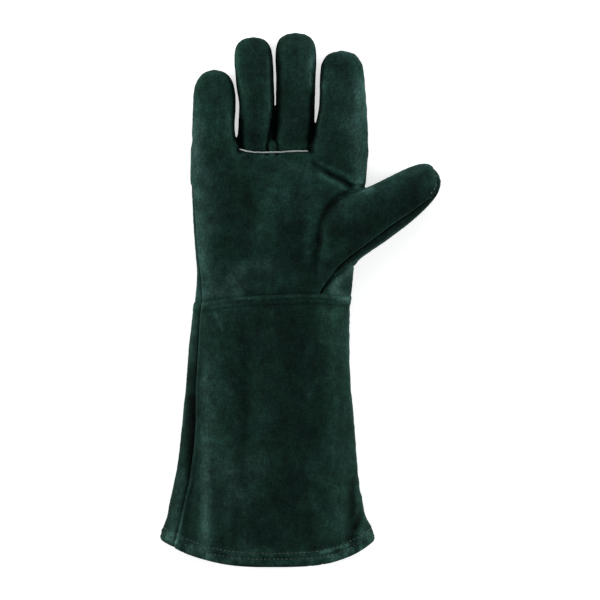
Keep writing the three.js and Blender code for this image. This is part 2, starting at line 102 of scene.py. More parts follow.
# Fingers: full thickness, then one row for each section, where thick is the share of it there
FINGER_COLUMNS = "y left right edge thick"
FINGERS = {
    "little": (29.0, table(
        FINGER_COLUMNS,
        (100, -91, -53.5, 13, 0.9),
        (132, -92.3, -54.6, 13, 1),
        (150, -92.1, -56.2, 13, 1),
        (170, -91.7, -55.3, 13, 0.97),
        (181, -90.6, -56.6, 13, 0.9),
        (188, -88.0, -58.7, 13, 0.78),
        (192.5, -84.3, -62.4, 13, 0.6),
        (195.3, -79.5, -67.5, 13, 0.36),
        (196.5, -76, -71.5, 13, 0.16),
    )),
    "ring": (28.0, table(
        FINGER_COLUMNS,
        (100, -50, -28, 13, 0.85),
        (132, -54.0, -26.6, 13, 0.94),
        (150, -52.5, -24.2, 13, 0.97),
        (165, -51.9, -22.2, 13, 1),
        (185, -54.4, -22.3, 13, 1),
        (204, -56.3, -22.9, 13, 0.97),
        (214, -55.5, -24.6, 13, 0.86),
        (220, -52.4, -27.8, 13, 0.68),
        (223.4, -47.4, -32.8, 13, 0.42),
        (224.6, -42.5, -37.7, 13, 0.18),
    )),
    "middle": (29.0, table(
        FINGER_COLUMNS,
        (100, -20.6, 6.4, 13, 0.85),
        (132, -20.6, 9.6, 13, 0.94),
        (150, -20.6, 12.2, 13, 0.97),
        (170, -20.6, 13, 13, 1),
        (190, -20.6, 13.3, 13, 1),
        (208, -21.2, 13.8, 13, 0.97),
        (218, -20.0, 12.6, 13, 0.86),
        (224, -16.8, 9.2, 13, 0.68),
        (227.4, -11, 3.6, 13, 0.42),
        (228.6, -6, -1.4, 13, 0.18),
    )),
    "index": (31.0, table(
        FINGER_COLUMNS,
        (100, 8.0, 55, 14, 0.9),
        (132, 10.6, 58.2, 14, 0.96),
        (150, 13.5, 57.6, 14, 1),
        (166, 16.3, 56.4, 14, 1),
        (188, 17.1, 54.8, 14, 0.97),
        (200, 18.2, 53.2, 14, 0.87),
        (206, 21.0, 50.4, 14, 0.74),
        (210, 25.2, 46.6, 14, 0.54),
        (212, 31, 40.5, 14, 0.3),
        (212.7, 34, 37.5, 14, 0.16),
    )),
}

# Webs that close the bottom of each gap between two fingers
WEB_COLUMNS = "y left right edge top"
WEBS = (
    table(WEB_COLUMNS, (105, -60, -46, 11, 22), (128, -59, -47, 11, 20), (136.5, -58, -48, 9, 13)),
    table(
        WEB_COLUMNS,
        (105, -33, -14, 12, 27),
        (127, -33, -14, 12, 25),
        (148, -31, -15, 11, 17),
        (165, -28.5, -16.5, 9, 12),
    ),
    table(WEB_COLUMNS, (105, 5, 21, 12, 26), (130, 6, 20, 12, 22), (150, 7, 20, 10, 14)),
)

# Thumb, along its own axis from its root in the palm. under is the height of a section's
# underside before the table flattens it. It rises at the tip, which is round underneath.
THUMB_ROOT = (18.9, 45.6)
THUMB_TURN = math.radians(29.6 - 90)
THUMB = table(
    WEB_COLUMNS + " under",
    (-9, -17, 20, 20, 32, -2.5),
    (-2, -23, 24, 20, 38, -2.5),
    (12, -28, 26, 19, 42, -2.5),
    (28, -29.5, 24.9, 18, 43, -2.5),
    (42, -28.5, 24, 18, 42, -2.5),
    (52, -25.8, 23.2, 18, 41, -2.5),
    (66, -24.2, 21.2, 18, 39.5, -2.5),
    (80, -23.5, 18.8, 18, 37.5, -2.5),
    (92, -22.6, 15.9, 18, 35, -2.3),
    (101, -21.4, 13.2, 18, 32.5, -1.2),
    (108, -19.6, 9.9, 18, 29.5, 1.2),
    (113, -17.0, 5.8, 18, 26.5, 4.6),
    (116, -13.0, 1.4, 18, 22.6, 9.2),
    (117, -9.2, -2.6, 18, 19.6, 12),
)

# Grid that the skin is read from, and the part of it that each limb can reach: how far beyond
# a finger's or web's sides, and from where to where along the glove. The thumb's part is given
# across and along the glove.
GRID_LOW = (-127.0, -243.0, -4.0)
GRID_HIGH = (129.0, 236.0, 50.0)
FAR_OUTSIDE = 60.0
FINGER_WINDOW = (8, (90, 240))
WEB_WINDOW = (6, (98, 170))
THUMB_WINDOW = ((-20, 129), (5, 140))

# How widely the limbs blend into each other, and how round their ends and the underside are.
# In the crotch of the thumb the blend narrows by CROTCH_SHARPER over a span along the hand.
BODY_BLEND = 5.0
WEB_BLEND = 2.5
CROTCH_SHARPER = 3.6
CROTCH_SPAN = (84, 94)
TABLE_BLEND = 3.0
FINGER_END = 1.0
THUMB_END = 1.5
EASING_ROUNDS = 4
EASING_SHARES = (0.5, -0.52)  # in and out again, which keeps the form from shrinking
BOW_ROUNDS = 14  # for the station of a place on the bowed cuff, which is found step by step
INMOST = 0.2  # share of a section inside which its distance is only rough
LEAST_SLOPE = 0.025

# Slack waves of the leather: height, size and seed. They fade out towards the table.
WAVES = ((0.5, 34, 1), (0.22, 13, 2))
WAVE_FADE = 12

# Odd numbers that scatter the corners of a grid for the random unevenness
HASH_AXES = (73856093, 19349663, 83492791)
HASH_SEED = 2654435761
HASH_STIR = 1274126177

# Heights over which the folds, and the painted light, shade and nap tone of the palm side, come in
FOLD_FADE = 14
PAINTED_TONE_HEIGHTS = (6, 15)

# Folds and dents of the palm side, each along a line: rise (negative for a valley), reach, and
# how much lighter or darker the leather is painted there, in stops: mostly painted shade in the
# valleys and between the fingers and painted light on the ridges, with lighter nap at the wrist
# scuffs. A fold fades out towards its ends.
FOLDS = (
    ("index crease", [(8, 118), (14, 114), (25.7, 106.5), (38.6, 100), (46, 94.5)],
     -1.0, 2.4, -0.4),
    ("deep end of the index crease", [(20, 110), (28.3, 105), (38.6, 100), (46, 94.5)],
     -0.9, 2.2, -0.45),
    ("ridge above the index crease", [(13, 118.5), (28, 110.5), (45, 103)], 0.8, 2.4, 0.25),
    ("ridge below the index crease", [(12, 108), (27, 99.5), (41, 92)], 1.3, 2.4, 0.25),
    ("crotch of the thumb", [(46, 98), (57, 92)], 0.5, 4.0, 0.9),
    ("thumb crease", [(44, 91.5), (33, 87), (24.3, 78), (19.4, 69), (17.6, 60), (17, 48),
                      (15.5, 36)], -1.3, 3.2, -0.7),
    ("hollow in the thumb crease", [(36, 87), (23, 74), (18, 60), (17, 40)], -1.2, 5.5, -1.0),
    ("foot of the thumb crease", [(17, 46), (14, 34), (11, 18)], -0.7, 3.2, -0.2),
    ("ridge left of that crease", [(6.9, 76), (7.7, 48.2), (7, 26)], 0.9, 3.5, 0.25),
    ("ridge right of that crease", [(23, 68), (21.4, 38)], 0.8, 3.0, 0.25),
    ("side of the hand", [(-76, 118), (-75, 50), (-72, -6)], 1.8, 9.0, 0.35),
    ("hollow beside it", [(-44, 100), (-47, 20)], -1.8, 9.0, -0.2),
    ("middle of the palm", [(-26, 112), (-30, 4)], 1.0, 9.0, 0.1),
    ("hollow below the index finger", [(-6, 118), (-1, 14)], -2.0, 12.0, -0.15),
    ("wedge between the middle fingers", [(-21.4, 176), (-21.2, 150), (-22.4, 134)],
     -11.0, 1.9, -1.2),
    ("left side of the tongue", [(-24.4, 145), (-27.2, 134), (-28.0, 122)], -3.5, 1.2, -1.0),
    ("right side of the tongue", [(-20.4, 142), (-19.6, 122)], -3.0, 1.2, -0.8),
    ("tongue between the middle fingers", [(-23.0, 144), (-24.0, 126)], 0.0, 2.4, -0.8),
    ("left side of the ring finger", [(-51.8, 158), (-51.4, 142), (-50.6, 122)],
     -6.0, 3.4, -1.1),
    ("left side of the middle finger", [(-20.4, 228), (-20.0, 140)], -3.0, 4.0, -1.05),
    ("right side of the middle finger", [(12.6, 178), (10.6, 150), (8.4, 122)],
     -4.5, 3.0, -1.2),
    ("left fold of the cuff", [(-72, 0), (-66, -60), (-64, -130), (-78, -236)], 2.2, 10.0, 0.2),
    ("hollow right of that fold", [(-47, -6), (-47, -110), (-58, -225)], -1.5, 8.0, -0.2),
    ("second fold of the cuff", [(-33, -20), (-32, -210)], 1.0, 8.0, 0.1),
    ("middle hollow of the cuff", [(-4, -6), (0, -214)], -2.2, 15.0, -0.15),
    ("right drape of the cuff", [(22, 0), (28, -110), (35, -226)], 1.9, 7.5, 0.15),
    ("right hollow of the cuff", [(45, -150), (41, -214)], -2.4, 4.5, -0.4),
    ("pinch above the right corner", [(59, -172), (43, -200)], -1.8, 3.2, -0.4),
    ("fold at the right corner", [(60, -196), (46, -206)], 1.2, 4.0, 0.3),
    ("hollow beside the side seam", [(-91, -140), (-95, -180), (-99, -222)], -1.6, 4.0, -0.45),
    ("drape beside it", [(-82, -60), (-81, -140), (-80, -228)], 1.6, 5.5, 0.5),
    ("next drape", [(-60, -150), (-62, -226)], 1.0, 6.0, 0.3),
    ("wrist scuff", [(-73.5, -9.5), (-65, -29)], 0.45, 1.5, 0.6),
    ("wrist scuff, right", [(14, -35), (24, -38)], 0.5, 1.8, 0.6),
    ("pucker in the hem", [(15, -217.0), (43, -209.0)], 0.9, 1.3, 0.8),
    ("second pucker in the hem", [(15, -221.0), (34, -218.0)], 0.6, 1.5, 0.5),
)

# Wider places painted lighter or darker: line, reach, tone in stops. Partly the nap's own
# random tone, partly painted light on edges and sides and painted shade in hollows.
PAINTED_LIGHT_SHADE_AND_NAP = (
    ("little fingertip", [(-86, 180), (-77, 190), (-66, 187)], 6.0, -0.6),
    ("little finger", [(-72, 170), (-74, 106)], 9.0, -0.1),
    ("right edge of the little finger", [(-58, 160), (-57, 142)], 4.0, 0.6),
    ("outer edge of the fingers' root", [(-91, 146), (-91, 108)], 9.0, 1.25),
    ("outer side below the little finger", [(-82, 122), (-79, 110)], 6.0, 0.45),
    ("outer edge of the hand", [(-88, 92), (-85, 28)], 6.5, 1.0),
    ("ring fingertip", [(-50, 216), (-42, 221)], 5.5, -0.5),
    ("ring finger", [(-40, 206), (-38, 140)], 8.0, -0.15),
    ("foot of the ring finger", [(-43, 142), (-37, 131)], 6.5, -0.95),
    ("left edge of the ring finger", [(-52.5, 184), (-51.5, 160)], 3.0, 1.1),
    ("right side of the ring finger", [(-25, 206), (-23.5, 156)], 3.8, 1.6),
    ("middle finger", [(6, 220), (-2, 180), (-2, 156)], 7.0, 0.4),
    ("right side of the middle finger", [(10.5, 204), (11, 184)], 4.5, 1.4),
    ("left side of the index finger", [(18, 186), (17.5, 164), (12.5, 138)], 3.6, 1.3),
    ("index finger", [(32, 182), (34, 154)], 12.0, 0.3),
    ("index fingertip", [(28, 204), (40, 194)], 8.0, -0.5),
    ("root of the index finger", [(32, 126), (23, 118), (40, 113)], 7.0, -0.55),
    ("right side of the index finger", [(51, 184), (48, 150), (48, 130), (53, 98)], 8.5, 1.1),
    ("crotch of the thumb", [(52, 96), (60, 94)], 5.0, 1.1),
    ("index finger, above the crotch", [(48, 97), (57, 97)], 3.0, 0.7),
    ("palm, below the piping", [(-4, 112), (9, 106)], 6.0, 0.45),
    ("palm, outer side", [(-70, 108), (-58, 100), (-58, 60)], 7.0, -0.35),
    ("palm, upper left", [(-44, 96), (-40, 84), (-42, 68)], 7.0, -0.7),
    ("palm, middle", [(-26, 112), (-18, 90)], 7.0, -0.5),
    ("palm, left", [(-72, 45), (-54, 50)], 6.5, -0.45),
    ("palm, light spot at the left", [(-79, 60), (-66, 73)], 6.0, 0.4),
    ("palm, lower left", [(-76, 14), (-52, 10)], 9.0, 0.45),
    ("palm, stroke across", [(-58, 18), (-40, 31), (-26, 28)], 8.0, 1.05),
    ("palm, right", [(-20, 70), (-16, 60), (0, 64)], 7.5, -1.0),
    ("palm, beside the thumb crease", [(-8, 75), (6, 66)], 6.0, -0.4),
    ("palm, above the wrist seam", [(-50, 12), (-12, 13)], 6.0, 0.35),
    ("palm, upper right", [(0, 88), (20, 90)], 6.5, -0.45),
    ("palm, lower middle", [(-10, 22), (2, 6)], 8.0, -0.4),
    ("palm, lower right", [(9, 30), (8, 14)], 7.0, -0.9),
    ("above the wrist seam", [(-82, 4), (-52, 5)], 4.5, 1.1),
    ("ball of the thumb", [(25, 88), (30, 56)], 7.5, -1.05),
    ("root of the thumb", [(46, 74), (58, 80)], 6.5, 0.5),
    ("foot of the thumb", [(22, 34), (42, 46)], 4.5, 0.45),
    ("thumb", [(36, 62), (94, 89)], 12.0, -0.65),
    ("upper edge of the thumb", [(74, 106), (108, 116)], 6.5, 0.7),
    ("underside of the thumb", [(46, 46), (66, 64), (98, 82)], 7.0, -0.75),
    ("back edge of the thumb", [(60, 40), (82, 56), (112, 80), (114, 94)], 4.0, -0.9),
    ("below the thumb", [(42, 26), (28, 8), (40, 1)], 5.0, 1.9),
    ("cuff, right of the wrist", [(22, -14), (41, -10), (41, -38)], 6.0, 0.4),
    ("cuff, left of the wrist", [(-93, -20), (-95, -50)], 6.5, 1.2),
    ("cuff, below the wrist at the left", [(-84, -14), (-81, -40)], 4.0, 0.5),
    ("below the wrist seam", [(-84, -4), (-50, -8)], 5.0, 0.6),
    ("scuffed below the wrist", [(-60, -15), (-46, -20)], 4.5, 0.5),
    ("cuff, upper left", [(-66, -30), (-62, -62)], 7.0, -0.35),
    ("cuff, below the seam's middle", [(-36, -24), (-30, -6), (-12, 3)], 8.0, -0.5),
    ("cuff, left of the middle", [(-56, -62), (-46, -90), (-60, -106)], 8.0, -0.7),
    ("cuff, outer side of the seam", [(-93.5, -84), (-94.5, -140)], 3.6, -1.1),
    ("cuff, groove of the seam", [(-91.5, -84), (-91.5, -112), (-96, -152)], 2.2, -1.3),
    ("cuff, outer rim", [(-99.5, -78), (-101.5, -108)], 2.8, 1.9),
    ("cuff, outer corner", [(-98, -148), (-104, -176), (-108, -204)], 6.5, 1.15),
    ("cuff, along the side seam", [(-82, -48), (-77, -90), (-81, -202)], 5.5, 0.95),
    ("cuff, lower left", [(-66, -142), (-40, -138), (-46, -166)], 14.0, 0.75),
    ("cuff, left drape", [(-58, -150), (-52, -166)], 8.0, 0.85),
    ("cuff, middle", [(-44, -134), (-26, -138)], 7.0, 0.4),
    ("cuff, left above the hem", [(-53, -178), (-52, -214)], 9.0, 0.9),
    ("cuff, middle above the hem", [(-42, -212), (-26, -214)], 6.0, 0.6),
    ("cuff, spot in the middle", [(2, -180), (1, -190)], 6.0, 0.5),
    ("cuff, left of that spot", [(-28, -162), (-14, -182)], 6.0, -0.45),
    ("cuff, right of the middle", [(13, -50), (18, -98), (6, -126)], 8.5, -0.65),
    ("cuff, right", [(31, -50), (36, -110)], 8.0, -0.45),
    ("cuff, right edge", [(48, -162), (57, -188)], 4.5, 0.9),
    ("cuff, right above the hem", [(31, -168), (31, -180)], 4.0, 0.3),
    ("cuff, lower right", [(8, -186), (12, -210), (42, -207)], 8.5, -0.95),
    ("hem, left corner", [(-106, -205), (-90, -215)], 6.0, 0.8),
    ("hem, left", [(-75, -222), (-62, -225)], 4.5, 1.3),
    ("hem, middle", [(-58, -222), (0, -225)], 6.0, 0.4),
    ("hem, right", [(28, -221), (40, -214)], 4.5, 0.5),
)

# Seam lines in plan
SIDE_SEAM_HAND = [(-84.0, -2.0), (-84.8, 12.2), (-87.2, 32.0), (-89.1, 50.8), (-90.6, 74.0),
                  (-92.4, 96.2)]
SIDE_SEAM_CUFF = [(-84.4, 6.0), (-84.2, -2.4), (-86.6, -14.4), (-87.4, -34.9), (-90.2, -79.5),
                  (-89.8, -104.0), (-91.2, -125.0), (-95.1, -156.6), (-102.5, -186.6),
                  (-108.0, -210.6), (-112.0, -240.0)]
WRIST_SEAM = [(-140, -2.4), (-84.0, -2.4), (-64.3, 1.1), (-42.9, 2.8), (0.0, 4.5), (17.7, 4.6),
              (30.9, 2.8), (140, 1.0)]
WELT_LINE = [(-51.8, 128.6), (-45.0, 126.4), (-38.6, 125.6), (-19.7, 125.6), (-8.0, 126.4),
             (6.9, 126.6)]
LITTLE_RING_GAP = [(-53.1, 134), (-53.1, 150), (-53.4, 165), (-56.0, 185), (-58.2, 204),
                   (-58.2, 240)]
RING_MIDDLE_GAP = -21.5
INDEX_INNER_EDGE = [(9.6, 136.5), (13.4, 148), (15.0, 160), (15.4, 240)]
TONGUE = [(-29.2, 126.0), (-18.9, 126.0), (-21.4, 140), (-21.4, 162), (-22.6, 162),
          (-25.8, 146)]
THUMB_SEAM = [(124.0, 86.5), (111.4, 85.1), (94.3, 72.6), (77.1, 61.1), (62.6, 49.9),
              (45.0, 37.1), (33.0, 27.0), (23.7, 15.6), (17.7, 6.2)]
THUMB_BACK_EDGE = [(17.4, 4.5), (20.8, 8.0), (28.3, 16.5), (35.1, 22.5), (44.2, 30.6)]
THUMB_UNDER_EDGE = [(50.0, 24.0), (44.2, 30.6), (47.5, 60.0), (48.9, 93.4)]


def block(left, right, near, far):
    """Corners of an upright rectangle in plan."""
    return [(left, near), (right, near), (right, far), (left, far)]


# Where each forked side strip starts and ends across the fingers. It narrows to a point there.
FORKS = {
    "fourchette_little_ring": (-73.6, -40.0),
    "fourchette_ring_middle": (-39.8, -3.9),
    "fourchette_middle_index": (-3.5, 35.8),
}
FORK_NEAR = 124.0  # where they start along the hand
FORK_TAPER = 14.0  # how far from its points a strip has its full width
FORK_POINT = 0.7  # how blunt the points are, 1 is straight

# Outline in plan, lowest and highest level of the leather of each piece, in cutting order.
HAND_PIECES = (
    ("fourchette_ring_middle", TONGUE, FORK_UNDER_Z, SKY),
    (
        "palm_panel",
        [*SIDE_SEAM_HAND, (-97, 100), (-110, 118), (-110, 240), *LITTLE_RING_GAP[::-1],
         *WELT_LINE, *INDEX_INNER_EDGE, (130, 240), *THUMB_SEAM, (16, -8), (-83.8, -8)],
        SIDE_SEAM_Z,
        SKY,
    ),
    (
        "ring_finger_front",
        [(-53.1, 120), (RING_MIDDLE_GAP, 120), (RING_MIDDLE_GAP, 240), *LITTLE_RING_GAP[::-1]],
        SIDE_SEAM_Z,
        SKY,
    ),
    ("middle_finger_front", block(RING_MIDDLE_GAP, 15.2, 120, 240), SIDE_SEAM_Z, SKY),
    (
        "thumb_back",
        [*THUMB_BACK_EDGE, (52, 32), (52, 70), (10, 70), (10, 4.5)],
        FORK_UNDER_Z,
        SKY,
    ),
    ("thumb_back", [*THUMB_UNDER_EDGE, (56, 125), (140, 125), (140, 20)], GROUND, SKY),
)
HAND_ZONE = [*WRIST_SEAM, (140, 260), (-140, 260)]
CUFF_FRONT = [*SIDE_SEAM_CUFF, (80, -240), (80, 6)]
PIECES = (
    "palm_panel",
    "ring_finger_front",
    "middle_finger_front",
    "fourchette_little_ring",
    "fourchette_ring_middle",
    "fourchette_middle_index",
    "back_panel",
    "thumb_back",
    "cuff_front",
    "cuff_back",
)
NO_PIECE = -1

# How a seam lies: depth and reach of the rolled-in groove, gap between the two edges, and how
# far the second piece lies below the first near the seam, over what reach. lip is how far the
# first piece's edge swells up beside the groove, band the width of the doubled leather there, and
# shade how much painted shade the second piece gets in the groove, in stops.
TIGHT = -0.08
SEAM_COLUMNS = ("depth", "reach", "gap", "step", "step_reach", "lip", "band", "shade")
SEAMS = {
    ("palm_panel", "back_panel"): (1.9, 1.5, TIGHT, 1.5, 7.0, 0.7, 0.0, 2.0),
    ("cuff_front", "cuff_back"): (2.8, 1.8, TIGHT, 2.2, 9.0, 0.7, 0.0, 2.4),
    ("cuff_front", "palm_panel"): (1.6, 0.8, TIGHT, 0.0, 5.0, 0.9, 7.6, 0.5),
    ("cuff_front", "back_panel"): (1.6, 0.8, TIGHT, 0.0, 5.0, 0.9, 7.6, 0.5),
    ("cuff_back", "back_panel"): (1.2, 1.2, TIGHT, 0.0, 5.0, 0.3, 7.6, 0.0),
    ("palm_panel", "thumb_back"): (3.8, 1.6, TIGHT, 1.6, 5.0, 0.2, 0.0, 2.8),
    ("palm_panel", "ring_finger_front"): (0.7, 1.2, 1.3, 3.2, 13.0, 0.3, 0.0, 0.0),
    ("palm_panel", "middle_finger_front"): (0.7, 1.2, 1.3, 3.2, 13.0, 0.3, 0.0, 0.0),
    ("palm_panel", "fourchette_ring_middle"): (0.7, 1.2, 1.3, 3.2, 13.0, 0.3, 0.0, 0.0),
}
PLAIN_SEAM = (1.3, 1.2, TIGHT, 0.0, 5.0, 0.25, 0.0, 0.0)

# How far the lower piece runs on under the upper one, also at the welt, where the upper piece's
# edge is turned in and thicker by the fold. The lap is taken up over a reach from the seam.
LAP = 2.0
LAP_REACH = 4
ON_SEAM = 0.3  # a point this near is on the seam
GAP_SEARCH = 12  # how far from a seam its effects are looked for at least
STEP_ENDS = 2.5  # a step has faded out at this many of its reaches
STEP_TURN = 0.25  # a step down counts fully where the skin faces up, and less past its side
WELT_LAP = 1.4
WELT_FOLD = 2.4
WELT_FOLD_REACH = 2.5
SHADE_REACH = 1.7

# The upper piece sinks less and the painted shade in its groove is fainter. A seam as deep as
# CRISP_DEPTH has its full dark line of painted shade, which fades over LINE_REACH.
UPPER_SINKS = 0.6
UPPER_LINE = 0.5
CRISP_DEPTH = 1.5
LINE_REACH = 1.1

# Place and reach of the lip beside a seam, of the dark line of painted shade beside a band, and
# how unevenly each is gathered. The band ends over twice BAND_STEP.
LIP_PLACE = 2.4
LIP_REACH = 1.4
LIP_VARIES = 0.5
BAND_STEP = 0.6
BAND_RISE = 0.5
BAND_VARIES = 0.05
BAND_LINE = 0.45
BAND_LINE_PLACE = 0.8
BAND_LINE_REACH = 0.9

# The thumb's seam climbs onto the tip over these stations along the thumb and across it. The
# climb is only past TIP_PAST from the thumb's root.
TIP_CLIMB = (86.0, 102.0)
TIP_ACROSS = (-15.0, -3.0)
TIP_RISE = 10.0
TIP_PAST = 20
TIP_STITCHES = [(112.4, 91.0), (113.6, 92.5), (115.0, 95.2), (116.1, 98.6), (116.5, 103.0),
                (115.7, 107.8), (113.4, 112.4)]
TIP_SPREAD = 40  # places that the line is divided into
TIP_TOP_REACH = 1.0

# Rows of points beside each seam, and how few faces make a speck that isn't a piece of its own
SEAM_ROWS = (0.6, 1.5)
SEAM_SEARCH = 4
HEM_SEARCH = 20
SPECK = 150

# The turned hem: its rows of stitches, its rounded edge, how much higher the doubled leather
# stands and where that ends, and how far a row of stitches presses in over what reach
HEM_ROWS = (7.0, 12.0)
HEM_NOSE = HEM_WALL / 2
HEM_NOSE_ROWS = (0.27, 1.0, 2.0)
HEM_NOSE_LEAST = 0.3
HEM_RISE = 0.6
HEM_RISE_ENDS = (HEM_ROWS[1] + 0.3, HEM_DEPTH + 1.2)
HEM_TURN_ENDS = (HEM_DEPTH - 1, HEM_DEPTH + 0.6)
HEM_LIGHT_ENDS = (HEM_ROWS[1], HEM_DEPTH + 1)
ROW_DEPTH = 0.6
ROW_REACH = 0.8
ROW_NEAR = 0.3

# Gathers and lumps along the hem: height, and where across the hem each comes in and goes out.
# PINCH_LIFT is how much of them is a real rise. They are also painted lighter where they rise
# and darker where they dip, as painted light and shade.
GATHER_SIZE = 6.5
GATHERS = (0.5, (1, 4), (14, 19))
LUMP_SIZE = 3.4
LUMPS = (0.8, (0, 2), (9, 15))
PINCH_LIFT = 0.5
FUZZ = 0.12
FUZZ_SIZE = 2.2

# How much lighter or darker the leather is painted, in stops: the inner side, the pressed-in
# rows and the turned hem as given, the rest as painted light and shade by the form
INNER_TONE = -0.4
# painted highlight on ridges and painted shade in hollows
RIDGE_LIGHT_AND_SHADE = 0.3
# painted shade where other leather stands close over the skin, as between the fingers
CLOSE_SHADE = 2.6
# painted highlight on the swollen lip beside a seam
LIP_HIGHLIGHT = 0.6
# painted shade along a seam's groove
LINE_SHADE = 1.1
# painted highlight on the raised doubled band at the wrist seam
BAND_HIGHLIGHT = 0.2
ROW_TONE = 0.3
HEM_TONE = 0.4
# painted highlight on the raised gathers and lumps, painted shade in their dips
PINCH_LIGHT_AND_SHADE = 0.9

# A ridge or hollow is where the skin stands off its own average over some rounds, and it counts
# fully at RIDGE_HEIGHT; ridges get a painted highlight and hollows painted shade. The painted
# tone of the folds and patches is laid only where the skin faces up.
RIDGE_ROUNDS = 14
RIDGE_HEIGHT = 0.45
RIDGE_LIMITS = (-1.2, 1)
FACING_UP = (-0.1, 0.25)

# Distances at which nearby leather shuts out light, and the most that each counts
CLOSE_REACHES = (4.5, 10.0)
CLOSE_MOST = 0.7

SPECULAR = 0.05  # every material is matt
SUEDE_ROUGHNESS = 0.95
SHEEN_TINT = (0.3, 0.85, 0.75)
SHEEN_ROUGHNESS = 0.3
TRIM_SHEEN = 0.2
SHARP_ANGLE = 60  # edges sharper than this, in degrees, aren't smoothed

# Layers of the suede's noise: the size that each goes by and its share of it, detail, roughness,
# and how it is drawn out along each axis. Then how much each counts in the tone and in the bump.
NAP_LAYERS = {
    "cloud": ("Cloud", 1.0, 2, 0.5, (1, 0.6, 1)),
    "wide cloud": ("Cloud", 2.2, 1, 0.5, (1, 1, 1)),
    "hue": ("Cloud", 0.7, 3, 0.6, (1, 1, 1)),
    "patch": ("Patch", 1.0, 4, 0.65, (1, 0.8, 1)),
    "nap": ("Nap", 1.0, 2, 0.6, (1, 1, 1)),
    "brushed": ("Nap", 1.0, 2, 0.5, (1.3, 0.35, 1)),
    "across": ("Nap", 1.0, 1, 0.5, (0.3, 1.2, 1)),
}
NAP_TONE = (("cloud", 1.8), ("wide cloud", 1.8), ("patch", 2.2), ("nap", 1.6), ("brushed", 1.3),
            ("across", 0.9))
NAP_RELIEF = (("nap", 0.7), ("brushed", 0.6), ("patch", 0.9))
NAP_BUMP = 0.6
NAP_DEPTH = 0.0005

# Noise over which the suede turns to its cool colour, and tone over which it turns to the
# greyer colour of painted highlights and rubbed nap
COOL_RANGE = (-0.12, 0.12)
HIGHLIGHT_AND_RUBBED_RANGE = (0.1, 1.7)

# Noise over which a plain material goes from dark to light, and the strength of its grain
GRAIN_RANGE = (0.35, 0.65)
GRAIN_BUMP = 0.5

# Stitches: how unlike each other they are, how far they stand out in thread radii, and the
# smoothing of their lines
STITCH_VARIES = (0.7, 1.1)
STITCH_LIFT = 0.1
STITCH_SMOOTHING = 6
LOOSE_THREAD = [(-106.4, -203.6), (-106.9, -205.6), (-107.6, -207.4), (-108.6, -209.2)]
LOOSE_SPREAD = 24
LOOSE_SMOOTHING = 4
LOOSE_FROM_Z = 16.0  # height at which the leather under it is looked for
LOOSE_LIFT = 0.4
THREAD_SIDES = 8
ANYWHERE = 1e3  # a reach that takes in the whole glove

# A tube's ends are rounded over this many points, down to this share of its section
TUBE_END = 2.5
TUBE_END_LEAST = 0.04

# The piping: points along it, where and how widely the palm's top is read, smoothing, how deep
# it lies in radii, its sides, and its unevenness: height, size, seed and share on each axis
WELT_SPREAD = 90
WELT_BACK = (0, 1.4)
WELT_TOP_REACH = 1.6
WELT_SMOOTHING = 12
WELT_DEPTH = 0.9
WELT_SIDES = 12
WELT_UNEVEN = (0.15, 1.8, 5, (0.4, 1.0, 1.0))


def column(rows, name, at):
    """Value of a column at stations along the rows, with a smooth tangent at each row."""
    y, value = rows["y"], rows[name]
    slope = np.empty_like(value)
    slope[1:-1] = (value[2:] - value[:-2]) / (y[2:] - y[:-2])
    slope[0] = (value[1] - value[0]) / (y[1] - y[0])
    slope[-1] = (value[-1] - value[-2]) / (y[-1] - y[-2])
    at = np.clip(at, y[0], y[-1])
    i = np.clip(np.searchsorted(y, at) - 1, 0, len(y) - 2)
    span = y[i + 1] - y[i]
    t = (at - y[i]) / span
    return (
        value[i] * (2 * t**3 - 3 * t**2 + 1)
        + value[i + 1] * (3 * t**2 - 2 * t**3)
        + slope[i] * span * (t**3 - 2 * t**2 + t)
        + slope[i + 1] * span * (t**3 - t**2)
    )


def limb_distance(rows, x, y, z, under):
    """Rough distance to a limb's skin, negative inside. x and y are across and along the limb."""
    left, right, edge, top = (column(rows, name, y) for name in ("left", "right", "edge", "top"))
    half = (right - left) / 2
    height = np.where(z > edge, top - edge, edge - under)
    across = np.abs(x - (left + right) / 2) / half
    up = np.abs(z - edge) / height
    rho = (across**BULGE + up**BULGE) ** (1 / BULGE)
    power = BULGE - 1
    steep = np.hypot(across**power / half, up**power / height) / np.maximum(rho, INMOST) ** power
    return (rho - 1) / np.maximum(steep, LEAST_SLOPE)


def smooth_step(low, high, value):
    """Rises from 0 at low to 1 at high."""
    t = np.clip((value - low) / (high - low), 0, 1)
    return t * t * (3 - 2 * t)


def bell(distance, reach):
    """1 on the spot, fading out beyond the reach."""
    return np.exp(-((distance / reach) ** 2))


def unit(vectors, least=1e-12):
    """The vectors at length 1, shorter where they are below the least length."""
    return vectors / np.maximum(np.linalg.norm(vectors, axis=1), least)[:, None]


def smooth_min(a, b, reach):
    """The smaller of two distances, rounded where they are alike."""
    share = np.clip(0.5 + 0.5 * (b - a) / reach, 0, 1)
    return b + (a - b) * share - reach * share * (1 - share)


def smooth_max(a, b, reach):
    """The larger of two distances, rounded where they are alike."""
    return -smooth_min(-a, -b, reach)


def along_cuff(x, y):
    """Station of a place in plan along the glove's sections, which bow at the cuff."""
    station = y
    for _ in range(BOW_ROUNDS):
        left, right = column(BODY, "left", station), column(BODY, "right", station)
        share = np.clip((2 * x - left - right) / (right - left), -1, 1)
        power = np.where(share < 0, *HEM_BOW)
        station = y + column(BODY, "bow", station) * (1 - np.abs(share) ** power)
    return station


def finger_rows(top, rows):
    """A finger's table with the heights of its top and underside."""
    edge, thick = rows["edge"], rows["thick"]
    return {
        **rows,
        "top": edge + (top - edge) * thick,
        "under": edge - (edge + UNDER_REACH) * thick,
    }


def thumb_place(x, y):
    """Place across and along the thumb of a place in plan."""
    turn_cos, turn_sin = math.cos(THUMB_TURN), math.sin(THUMB_TURN)
    dx, dy = x - THUMB_ROOT[0], y - THUMB_ROOT[1]
    return dx * turn_cos + dy * turn_sin, dy * turn_cos - dx * turn_sin


